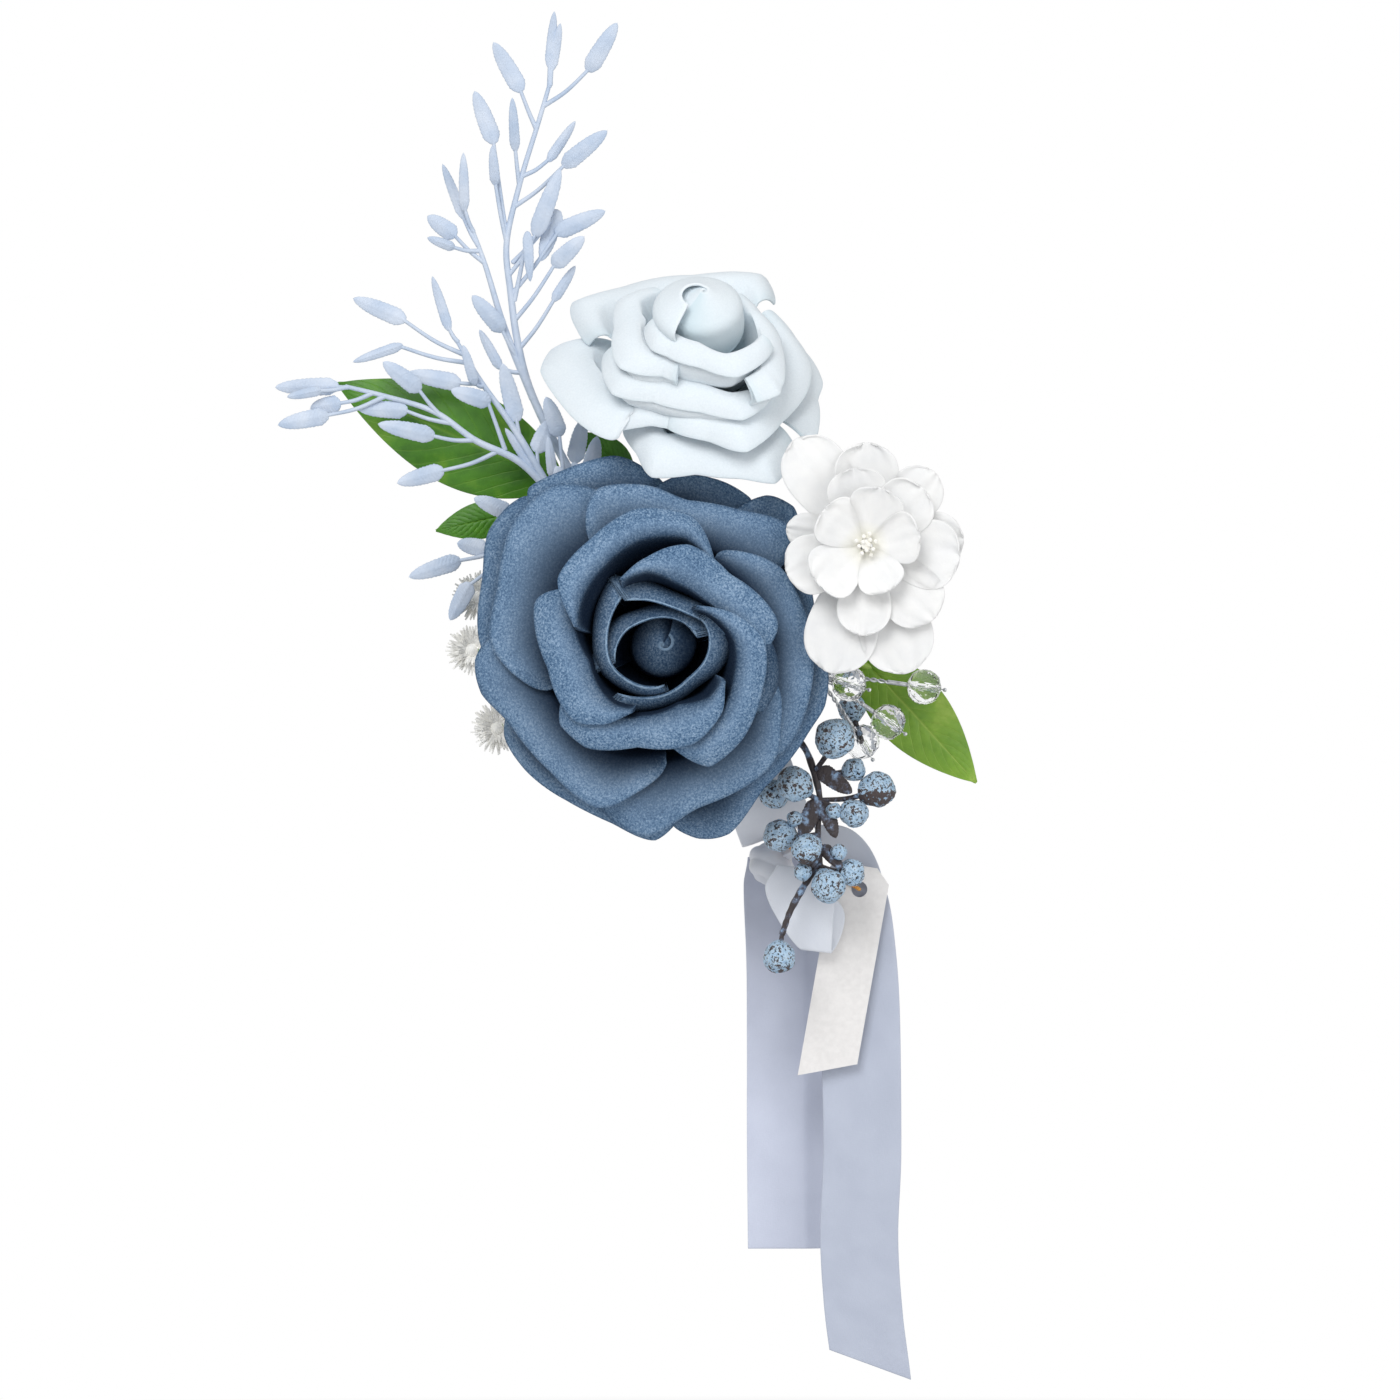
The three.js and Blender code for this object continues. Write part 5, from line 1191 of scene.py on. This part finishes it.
def blade(angle, length, lift):
    """One narrow pointed blade of a fringe."""
    c, s = math.cos(angle), math.sin(angle)

    def surface(u, v):
        share = np.clip(v, 0, 1)
        reach = FRINGE_START + (length - FRINGE_START) * v
        across = (0.4 * (1 - share ** 2.2) + 0.07) * (2 * u - 1)
        height = lift * share ** 1.7 - 0.1 * np.abs(2 * u - 1)
        return np.stack([reach * c - across * s, -height, reach * s + across * c], -1)

    return sheet(surface, 3, 8, FRINGE_THICKNESS, edge=0, side_edge=0)


def fringe(centre, seed):
    """Three rings of blades round a heart."""
    draw = np.random.default_rng(seed)
    parts = []
    for ring, (count, reach, rise) in enumerate(FRINGE_RINGS):
        for i in range(count):
            angle = 2 * math.pi * (i + 0.5 * ring) / count + draw.uniform(-0.08, 0.08)
            length = FLORET_RADIUS * reach * draw.uniform(0.86, 1.04)
            parts.append(moved(blade(angle, length, rise * draw.uniform(0.7, 1.2)), None, centre))
    return merged(parts)


for number, (name, (heart, start)) in enumerate(FLORETS.items()):
    nodes = [name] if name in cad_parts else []
    centre = place(*heart, FLORET_DEPTH - (0 if nodes else HIDDEN_BACK))
    foot = place(*start, PAD_FACE + SEAT + LEAF_STEM)
    piece(name + "_fringe", fringe(centre, 40 + number), floret_cream, nodes=nodes)
    heart_part = moved(lathe(HEART, 20), basis((0, -1, 0)), centre)
    piece(name + "_heart", heart_part, floret_cream)
    stem = rod([foot, (foot + centre) / 2, centre], 24, LEAF_STEM, 12)
    piece(name + "_stem", stem, core_green)

# Berries

BERRY_STEM = 0.8
BERRY_TWIG = 0.5
BERRY_DEPTH = RIGHT_LEAF_DEPTH + 6.0
# Berries: the middle's pixel, the radius in pixels, a step forward in mm and the pixel where the stalk starts
BERRIES = [
    (835, 738, 20, 6, 814, 772), (795, 784, 18, 3, 820, 800), (854, 770, 12, -1, 814, 772),
    (877, 790, 18, 0, 820, 800), (854, 813, 14, 2, 820, 800), (780, 836, 16, 0, 818, 834),
    (807, 849, 15, 4, 818, 834), (828, 886, 17, 3, 820, 866), (851, 873, 14, -1, 820, 866),
    (779, 957, 16, 1, 782, 935),
]
BERRY_STEMS = [
    [(760, 706), (785, 728), (804, 747), (814, 772), (820, 800), (818, 834), (820, 866)],
    [(820, 862), (806, 883), (790, 912), (782, 935)],
]
BRACTS = [
    (818, 800, 800, 838), (824, 804, 836, 838), (819, 769, 852, 793), (818, 840, 812, 868),
    (822, 846, 842, 868),
]
HIDDEN_BERRIES = [
    (775, 794, 15, -2, 795, 784), (852, 708, 14, -4, 862, 742), (803, 872, 9, 2, 807, 860),
    (834, 811, 8, 2, 822, 806), (795, 819, 8, 1, 812, 812), (839, 852, 8, 2, 826, 850),
]

# A berry's outline by radius and height in radii, and how far below its middle some have lost their coat
BERRY_PROFILE = [
    (0, -1.12), (0.3, -1.05), (0.62, -0.82), (0.88, -0.45), (1.0, 0), (0.93, 0.42), (0.72, 0.74), (0.4, 0.93),
    (0.2, 1.0), (0, 0.96),
]
BALD = {3: -0.25, 6: 0.2, 9: 0.35}
WELL_COATED = 2


def berry(centre, start, radius, seed, bald):
    """A plump drupe on its stalk: drawn in where the stalk meets it, with a blunt nose."""
    reach, height = (smooth(column, np.linspace(0, 1, 30)) for column in zip(*BERRY_PROFILE))
    reach[0] = reach[-1] = 0
    points, faces, _ = lathe(np.stack([np.abs(reach), height], -1), 36)
    phase = np.random.default_rng(seed).uniform(0, 6, 6)
    x, y, z = points.T
    lump = 1 + 0.03 * np.sin(5 * x + phase[0]) + 0.03 * np.sin(5 * y + phase[1])
    lump = lump + 0.025 * np.sin(7 * z + phase[2]) + 0.012 * np.sin(19 * x + 17 * z + phase[3])
    part = (points * lump[:, None] * radius, faces, {})
    points, faces, values = moved(part, basis(unit(centre - start)), centre)
    values["bald"] = ease(((centre[2] - points[:, 2]) / radius - bald) / 0.9)
    return points, faces, values


berries, stalks = [], []
for i, (x, y, size, step, from_x, from_y) in enumerate(BERRIES + HIDDEN_BERRIES):
    centre = place(x, y, BERRY_DEPTH + step)
    start = place(from_x, from_y, BERRY_DEPTH)
    berries.append(berry(centre, start, size * SCALE, 60 + i, BALD.get(i, WELL_COATED)))
    sag = (start + centre) / 2 + np.array([0, 0, -0.06 * np.linalg.norm(centre - start)])
    stalks.append(rod([start, sag, centre], 18, BERRY_TWIG * np.linspace(1.0, 1.35, 18), 10))
for branch, pixels in enumerate(BERRY_STEMS):
    t = np.linspace(0, 1, 12 * len(pixels))
    knobs = 1 + 0.14 * np.sin(31 * t) * np.sin(17 * t + 1)
    points = stem_way(pixels, BERRY_STEM, 0 if branch else 1, BERRY_DEPTH)
    stalks.append(rod(points, len(t), BERRY_STEM * knobs * (1.05 - 0.3 * t), 12))
for i, (x, y, tip_x, tip_y) in enumerate(BRACTS):
    base = place(x, y, BERRY_DEPTH + 0.6)
    tip = place(tip_x, tip_y, BERRY_DEPTH + 2.2)
    stalks.append(ear(base, tip, 0.42 * np.linalg.norm(tip - base), 0.7, i))
piece("berry_drupes", merged(berries), berry_blue, nodes=["berry_spray"], sharp=80)
piece("berry_stalks", merged(stalks), berry_stem, sharp=60)

# Crystals

# Crystals: the bead's pixel, the pixel where its own wire starts and a step forward in mm
CRYSTALS = [
    (849, 684, 822, 676, 5), (924, 687, 888, 682, 0), (888, 722, 862, 704, 2), (862, 742, 846, 716, -5),
]
CRYSTAL_DEPTH = BERRY_DEPTH + 4.0
CRYSTAL_STEM = [(776, 678), (800, 672), (815, 672)]
WIRE = 0.35
WIRE_PAIR = 1.3 * WIRE
WIRE_SAG = 0.6
TWIST_LENGTH = 1.9
WIRE_STOP = [(0, -0.45), (0.3, -0.36), (0.45, 0), (0.3, 0.36), (0, 0.45)]
BEAD = 3.8
BEAD_BORE = 0.52
BEAD_SIDES = 13
BEAD_RINGS = (-0.95, -0.78, -0.5, -0.17, 0.17, 0.5, 0.78, 0.95)


def bead():
    """A round bead cut in rings of triangular facets, with its bore along z."""
    points, faces = [], []
    for number, z in enumerate(BEAD_RINGS):
        reach = BEAD_BORE / BEAD if abs(z) > 0.9 else math.sqrt(1 - z * z)
        for k in range(BEAD_SIDES):
            angle = 2 * math.pi * (k + 0.5 * (number % 2)) / BEAD_SIDES
            points.append([reach * math.cos(angle), reach * math.sin(angle), z])
    last = len(points) - BEAD_SIDES
    for k in range(BEAD_SIDES):
        following = (k + 1) % BEAD_SIDES
        for low in range(0, last, BEAD_SIDES):
            a, b, c, d = low + k, low + following, low + BEAD_SIDES + k, low + BEAD_SIDES + following
            faces += [[a, d, c], [a, b, d]] if low // BEAD_SIDES % 2 else [[a, b, c], [b, d, c]]
        faces.append([last + k, last + following, following, k])
    return np.array(points) * BEAD, faces, {}


def twisted(path, radius, turns):
    """Two wires twisted round each other along a path."""
    _, across, up = carried_frames(path)
    angle = np.linspace(0, 2 * math.pi * turns, len(path))[:, None]
    swing = 0.6 * radius * (across * np.cos(angle) + up * np.sin(angle))
    return [tube(path + way * swing, 0.48 * radius, 8) for way in (1, -1)]


stem = stem_way(CRYSTAL_STEM, WIRE, 1, CRYSTAL_DEPTH)
wires = twisted(spline(stem, np.linspace(0, 1, 160)), WIRE_PAIR, 10)
root = stem[-1]
for i, (x, y, from_x, from_y, step) in enumerate(CRYSTALS):
    depth = CRYSTAL_DEPTH + step
    centre, start = place(x, y, depth), place(from_x, from_y, depth)
    along = unit(centre - start)
    end = centre + along * (BEAD + SEAT + 0.3)
    sag = np.sin(np.linspace(0, math.pi, 100))[:, None] * [0, WIRE_SAG, 0]
    bare = np.linspace(root, start, 100) + sag
    path = np.vstack([bare[:-1], np.linspace(start, centre - along * BEAD, 160)])
    wires += twisted(path, WIRE_PAIR, max(3, np.linalg.norm(centre - root) / TWIST_LENGTH))
    wires.append(tube(np.linspace(centre - along * BEAD, end, 6), WIRE * 0.4, 8))
    wires.append(moved(lathe(WIRE_STOP, 12), basis(along), end))
    cut = moved(bead(), basis(along), centre)
    piece(f"crystal_bead_{i + 1}_cut", cut, crystal_clear, body=f"bead_{i + 1}",
          nodes=[f"crystal_bead_{i + 1}"], flat=True)
piece("crystal_wire_twisted", merged(wires), wire_silver, nodes=["crystal_wire"])

# Pads and wrist band


def felt_disc(radius, centre, seed):
    """A disc of felt with a slightly ragged edge."""
    phases = np.random.default_rng(seed).uniform(0, 2 * math.pi, (6, 2))

    def surface(u, v):
        angle = 2 * math.pi * u
        edge = radius + 0.12 * np.sin(17 * angle + phases[0, 0]) + 0.08 * np.sin(41 * angle + phases[0, 1])
        reach = 0.02 + (edge - 0.02) * v
        fuzz = 0.04 * np.sin(9 * reach + 5 * angle + phases[1, 0])
        fuzz = fuzz + 0.04 * np.sin(13 * angle + 4 * reach + phases[2, 0])
        return np.stack([reach * np.cos(angle), -fuzz, reach * np.sin(angle)], -1)

    return moved(sheet(surface, 144, 30, PAD, ring=True, edge=0.02), None, centre)


def wrist_point(across, along, depth):
    """A point by its place across and along the wrist, and its depth in front of the wrist's axis."""
    x = along * math.cos(WRIST_ANGLE) - across * math.sin(WRIST_ANGLE)
    z = along * math.sin(WRIST_ANGLE) + across * math.cos(WRIST_ANGLE)
    return np.stack([x, -depth, z], -1)


lower_x, lower_z = -LOWER_PAD_OFFSET * math.sin(WRIST_ANGLE), LOWER_PAD_OFFSET * math.cos(WRIST_ANGLE)
for name, radius, centre, seed in (
    ("lower_felt_pad", LOWER_PAD_RADIUS, (lower_x, -LOWER_PAD_DEPTH + PAD / 2, lower_z), 81),
    ("upper_felt_pad", UPPER_PAD_RADIUS, (UPPER_PAD_X, -UPPER_PAD_DEPTH - PAD / 2, UPPER_PAD_Z), 82),
):
    made = piece(name + "_felt", felt_disc(radius, centre, seed), white_felt, nodes=[name])


def band_line(t):
    """Points of the band's middle line at shares of its length, with its length."""
    rows = [(-BAND_FLAT_LOW, BAND_FRONT), (BAND_FLAT_HIGH, BAND_FRONT)]
    for middle, half_width, half_depth, turn in (
        (BAND_FLAT_HIGH, BAND_HALF_WIDTH - BAND_FLAT_HIGH, BAND_FRONT, np.linspace(math.pi / 2, 0, 60)),
        (0, BAND_HALF_WIDTH, BAND_BACK, np.linspace(0, -math.pi, 120)),
        (-BAND_FLAT_LOW, BAND_HALF_WIDTH - BAND_FLAT_LOW, BAND_FRONT, np.linspace(math.pi, math.pi / 2, 80)),
    ):
        rows += [(middle + half_width * math.cos(a), half_depth * math.sin(a)) for a in turn[1:]]
    line = np.array(rows)
    lengths = np.concatenate([[0], np.cumsum(np.linalg.norm(np.diff(line, axis=0), axis=1))])
    at = (np.asarray(t) % 1) * lengths[-1]
    return np.interp(at, lengths, line[:, 0]), np.interp(at, lengths, line[:, 1]), lengths[-1]


def satin_strip(surface, columns, rows, width_key, length_key, length, **edges):
    """A sheet of ribbon with its own wide and long values, in millimetres."""
    points, faces, values = sheet(surface, columns, rows, RIBBON, **edges)
    values.update(wide=values[width_key] * RIBBON_WIDTH, long=values[length_key] * length)
    return points, faces, values


def band_surface(u, v):
    across, depth, _ = band_line(u)
    side = v - 0.5
    gather = 0.35 * np.sin(5 * math.pi * v) * np.exp(-(((u % 1) - 0.72) / 0.05) ** 2)
    swell = 0.25 * (1 - (2 * side) ** 2)
    middle = wrist_point(across, side * RIBBON_WIDTH, depth)
    outward = unit(wrist_point(across, 0 * side, depth))
    return middle + outward * (gather + swell)[..., None]


band_length = float(band_line(0.0)[2])
band_part = satin_strip(band_surface, 240, 16, "out", "across", band_length, ring=True, edge=0.015)
made = piece("ribbon_wrist_band_satin", band_part, satin_band_painted_lighter, nodes=["ribbon_wrist_band"],
             sharp=60)

# Knot, loop and tails

KNOT_RADIUS = 5.0
KNOT_DEPTH = 4.0
KNOT_STRAND = 1.2
KNOT_ACROSS = -(BAND_HALF_WIDTH + RIBBON / 2 + SEAT + KNOT_RADIUS)
KNOT_ALONG = -3.5
KNOT = wrist_point(np.array(KNOT_ACROSS), np.array(KNOT_ALONG), np.array(KNOT_DEPTH))
KNOT_WIDE, KNOT_LONG = 14, 30
TAIL_RELEASE = 13.0
RIBBON_SEEN = 16.5
LONG_TAIL_DEPTH = 11.0
ALONG_WRIST = np.array([math.cos(WRIST_ANGLE), 0, math.sin(WRIST_ANGLE)])
SIDEWAYS = np.array([1.0, 0, 0])
SHORT_TAIL = [(777, 848), (782, 880), (785.5, 940), (786.5, 1040), (786.5, 1140), (787.5, 1253)]
LONG_TAIL = [
    (820, 838), (840, 852), (853, 890), (859, 960), (862, 1060), (863, 1160), (860, 1240), (864, 1310),
    (871, 1368),
]
LOOP = [(803, 868), (800, 892), (806, 925), (817, 951), (824, 940), (824, 910), (812, 884)]
LOOP_DEPTH_SHARES = (1, 1, 1, 0.5, 0, 0, 0)
LOOP_WIDTH_SHARES = (1.0, 1.35, 1.05, 0.6, 0.6, 0.8, 0.5)
LOOP_FRONT, LOOP_BACK, LOOP_WIDTH = 19.5, 16.0, 11.0


def strip(points, widths, across_start, across_end, rows, columns, fold=0.0, slant=0.0, sway=0.0):
    """A ribbon along points, folded, slanted at its end and swaying a little, and its length."""
    fine = spline(points, np.linspace(0, 1, 400))
    length = float(np.linalg.norm(np.diff(fine, axis=0), axis=1).sum())

    def surface(u, v):
        share = np.clip(v, 0, 1)
        side = 2 * u - 1
        before, after = (spline(points, np.clip(share + step, 0, 1)) for step in (-1e-3, 1e-3))
        tangent = unit(after - before)
        middle = spline(points, share) + tangent * ((v - share) * length)[..., None]
        turn = np.clip(share / 0.25, 0, 1)[..., None]
        across = unit(across_start * (1 - turn) + across_end * turn)
        point = middle + across * ((u - 0.5) * smooth(widths, share))[..., None]
        back = fold * np.maximum(u - 0.75, 0) / 0.25
        back = back + sway * np.sin(2.2 * math.pi * share + 0.6) * side * share
        point[..., 1] += back + 0.22 * side ** 2 * np.sin(math.pi * share)
        return point + tangent * (slant * side * ease((share - 0.55) / 0.45))[..., None]

    return satin_strip(surface, columns, rows, "across", "out", length, edge=0.003, side_edge=0.012), length


def tail_piece(name, points, widths, across, rows, body, bend_way, finish, **shape):
    """A tail of ribbon along its points from the knot, with its mesh baked into the frame; its body and bend
    way are not used.
    """
    part, length = strip(points, widths, across, SIDEWAYS, rows, 28, **shape)
    made = piece(name + "_satin", part, finish, body=None, nodes=[name], sharp=60)
    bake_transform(made)


short_depth = KNOT_DEPTH - KNOT_RADIUS - SEAT - RIBBON
short_points = [place(x, y, short_depth) for x, y in SHORT_TAIL]
short_widths = [TAIL_RELEASE, *4 * [RIBBON_SEEN]]
tail_piece("ribbon_tail_short", short_points, short_widths, ALONG_WRIST, 120, "short_tail", (0, 0, -9.0),
           satin_back_painted_lighter, fold=2.2)

long_points = [place(x, y, LONG_TAIL_DEPTH) for x, y in LONG_TAIL]
start_way = unit((long_points[0] - KNOT) * [1, 0, 1])
upwards = np.array([-start_way[2], 0, start_way[0]])
long_widths = [TAIL_RELEASE / 2, TAIL_RELEASE, *4 * [RIBBON_SEEN]]
tail_piece("ribbon_tail_long", long_points, long_widths, upwards, 160, "long_tail", (4.5, 0, -6.0),
           satin_tail_painted_darker, slant=3.2, sway=0.35)


def gathers(share, angle):
    """The strand's section, drawn in to five soft folds."""
    return 0.86 + 0.14 * np.sin(5 * angle + 3 * share)


def knot():
    """A lump of wrapped satin with deep pleats, and the gathered strand that the long tail goes on from."""
    rows, sides = 60, 72
    theta = np.linspace(0.02, math.pi - 0.02, rows)[:, None]
    phi = (np.arange(sides) * 2 * math.pi / sides)[None, :]
    pleat = 0.09 * np.abs(np.sin(3.5 * theta + 1.6 * np.sin(phi)))
    pleat = pleat + 0.05 * np.sin(5 * phi + 2 * theta) * np.sin(theta)
    reach = KNOT_RADIUS * (0.87 + pleat)
    points = np.stack([
        reach * np.sin(theta) * np.cos(phi) * 1.04,
        reach * np.sin(theta) * np.sin(phi) * 0.92,
        reach * np.cos(theta) * np.ones_like(phi) * 0.95,
    ], -1).reshape(-1, 3)
    points = np.vstack([points, [[0, 0, KNOT_RADIUS * 0.9], [0, 0, -KNOT_RADIUS * 0.9]]])
    faces = [face[::-1] for face in skin(rows, sides)]
    wide = np.append(np.repeat(np.linspace(0, KNOT_WIDE, rows), sides), [0, KNOT_WIDE])
    long = np.append(np.tile(np.linspace(0, KNOT_LONG, sides), rows), [0, KNOT_LONG])
    lump = moved((points, faces, {"wide": wide, "long": long}), basis((0.4, -0.2, 0.9)), KNOT)
    path = np.linspace(KNOT, long_points[0], 40)
    strand = tube(path, KNOT_STRAND, 28, section=gathers)
    strand[2].update(wide=strand[2]["around"] * KNOT_WIDE, long=strand[2]["along"] * KNOT_WIDE)
    return merged([lump, strand])


piece("ribbon_knot_satin", knot(), satin_band_painted_lighter, nodes=["ribbon_knot"], sharp=80)

loop_points = [
    place(x, y, LOOP_BACK + share * (LOOP_FRONT - LOOP_BACK))
    for (x, y), share in zip(LOOP, LOOP_DEPTH_SHARES)
]
loop_slant = unit(np.array([1, 0.15, -0.12]))
loop_widths = [share * LOOP_WIDTH for share in LOOP_WIDTH_SHARES]
loop_part, loop_length = strip(loop_points, loop_widths, loop_slant, loop_slant, 90, 24)
made = piece("ribbon_bow_loop_satin", loop_part, satin_band_painted_lighter, nodes=["ribbon_bow_loop"],
             sharp=60)

# Tag and thread

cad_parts["card_hang_tag"].data.materials.clear()
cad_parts["card_hang_tag"].data.materials.append(card_white)

TAG_HOLE_PIXEL = (860, 890)
TAG_DEPTH = 13.6
TAG = 0.6
THREAD = 0.4
THREAD_SLACK = 0.8
THREAD_TURNS = 40


def thread_path():
    """The thread's closed way: through the tag's hole, in front to the tail's strand, round it and back."""
    hole = place(*TAG_HOLE_PIXEL, TAG_DEPTH)
    tie = (KNOT + long_points[0]) / 2
    level = np.array([tie[0], hole[1], tie[2]])
    along = unit(level - hole)
    span = float(np.linalg.norm(level - hole))
    clear = KNOT_STRAND + THREAD + THREAD_SLACK
    front = TAG_DEPTH + TAG + THREAD
    back = LONG_TAIL_DEPTH + RIBBON / 2 + THREAD + SEAT
    tie_depth = -tie[1]
    rows = [
        (0, TAG_DEPTH), (2 * THREAD, front), (0.3 * span, front), (0.7 * span, front),
        (span, tie_depth + clear), (span + 0.7 * clear, tie_depth + 0.7 * clear), (span + clear, tie_depth),
        (span + 0.7 * clear, tie_depth - 0.7 * clear), (span, tie_depth - clear),
        (span - clear, tie_depth - clear / 2), (0.7 * span, back), (0.3 * span, back), (2 * THREAD, back),
    ]
    points = [hole + along * reach + np.array([0, -hole[1] - depth, 0]) for reach, depth in rows]
    return spline(points, np.linspace(0, 1, 260, endpoint=False), closed=True)


def thread():
    """Two plies, twisted round each other along the closed way."""
    path = thread_path()
    _, across, up = carried_frames(path, closed=True)
    angle = np.linspace(0, 2 * math.pi * THREAD_TURNS, len(path), endpoint=False)[:, None]
    swing = 0.5 * THREAD * (across * np.cos(angle) + up * np.sin(angle))
    return merged([tube(path + way * swing, 0.52 * THREAD, 8, closed=True) for way in (1, -1)])


piece("tag_thread_plied", thread(), thread_gold, body="thread", nodes=["tag_thread"],
      sharp=80)

# Stage, light and camera, in metres

FLOOR_Z = -0.16
FLOOR_Y = -0.02
FLOOR_SIDES = 64
FLOOR_RINGS = [0.05 + 0.015 * k for k in range(30)]
FADE_FROM, FADE_TO = 0.26, 0.42


def floor_finish():
    """A pale floor that goes over into the white background away from the object."""
    made, tree = material("floor_pale", Roughness=0.9, Base_Color=shade(244, 244, 244))
    reach = add(tree, "VectorMath", {0: position(tree)}, operation="LENGTH").outputs["Value"]
    light = add(tree, "Emission", {"Color": WHITE, "Strength": 1.0})
    path = add(tree, "LightPath")
    seen = maths(tree, "MULTIPLY", path.outputs["Is Camera Ray"], remap(tree, reach, FADE_FROM, FADE_TO))
    mix = add(tree, "MixShader", {0: seen, 1: tree.nodes[SHADER].outputs[0], 2: light.outputs[0]})
    tree.links.new(mix.outputs[0], tree.nodes["Material Output"].inputs["Surface"])
    return made


turn = 2 * math.pi / FLOOR_SIDES
floor_points = [
    [r * math.cos(turn * j), FLOOR_Y + r * math.sin(turn * j), FLOOR_Z]
    for r in FLOOR_RINGS for j in range(FLOOR_SIDES)
]
floor_faces = []
for j in range(FLOOR_SIDES):
    k = (j + 1) % FLOOR_SIDES
    for low in range(0, len(floor_points) - FLOOR_SIDES, FLOOR_SIDES):
        high = low + FLOOR_SIDES
        floor_faces.append([high + j, high + k, low + k, low + j])
    floor_faces.append([j, k, len(floor_points)])
floor_mesh = bpy.data.meshes.new("floor")
floor_mesh.from_pydata([*floor_points, [0, FLOOR_Y, FLOOR_Z]], [], floor_faces)
floor_mesh.materials.append(floor_finish())
floor = scene_object("floor", floor_mesh)

world = bpy.data.worlds.new("studio")
bpy.context.scene.world = world
world.use_nodes = True
tree = world.node_tree
tree.nodes.clear()
ambient = add(tree, "Background", {"Color": WHITE, "Strength": 0.5})
backdrop = add(tree, "Background", {"Color": WHITE, "Strength": 1.0})
path = add(tree, "LightPath")
seen = maths(tree, "MAXIMUM", path.outputs["Is Camera Ray"], path.outputs["Is Transmission Ray"])
seen = maths(tree, "MAXIMUM", seen, path.outputs["Is Glossy Ray"])
mix = add(tree, "MixShader", {0: seen, 1: ambient.outputs[0], 2: backdrop.outputs[0]})
tree.links.new(mix.outputs[0], add(tree, "OutputWorld").inputs["Surface"])

LAMP_TARGET = (0, -0.03, 0.01)


def lamp(name, at, size, power):
    data = bpy.data.lights.new(name, "AREA")
    data.size = size
    data.energy = power
    made = scene_object(name, data)
    made.location = at
    made.rotation_euler = Vector(np.array(LAMP_TARGET) - np.array(at)).to_track_quat("-Z", "Y").to_euler()


lamp("key", (-0.45, -1.4, 1.0), 0.9, 17.0)
lamp("fill", (0.9, -1.2, 0.1), 1.0, 5.5)

REFERENCE_DEPTH = 30.0
CAMERA_AWAY = 4.0
SENSOR = 36.0
camera_data = bpy.data.cameras.new("camera")
camera_data.sensor_width = SENSOR
camera_data.lens = SENSOR * CAMERA_AWAY / (PHOTO_SPAN * MM)
camera_data.clip_start, camera_data.clip_end = 0.1, 50.0
camera = scene_object("camera", camera_data)
centre = place(PHOTO_PIXELS / 2, PHOTO_PIXELS / 2, REFERENCE_DEPTH) * MM
camera.location = (centre[0], centre[1] - CAMERA_AWAY, centre[2])
camera.rotation_euler = (math.pi / 2, 0, 0)
bpy.context.scene.camera = camera
bpy.context.scene.view_settings.view_transform = "Standard"

bpy.context.view_layer.update()
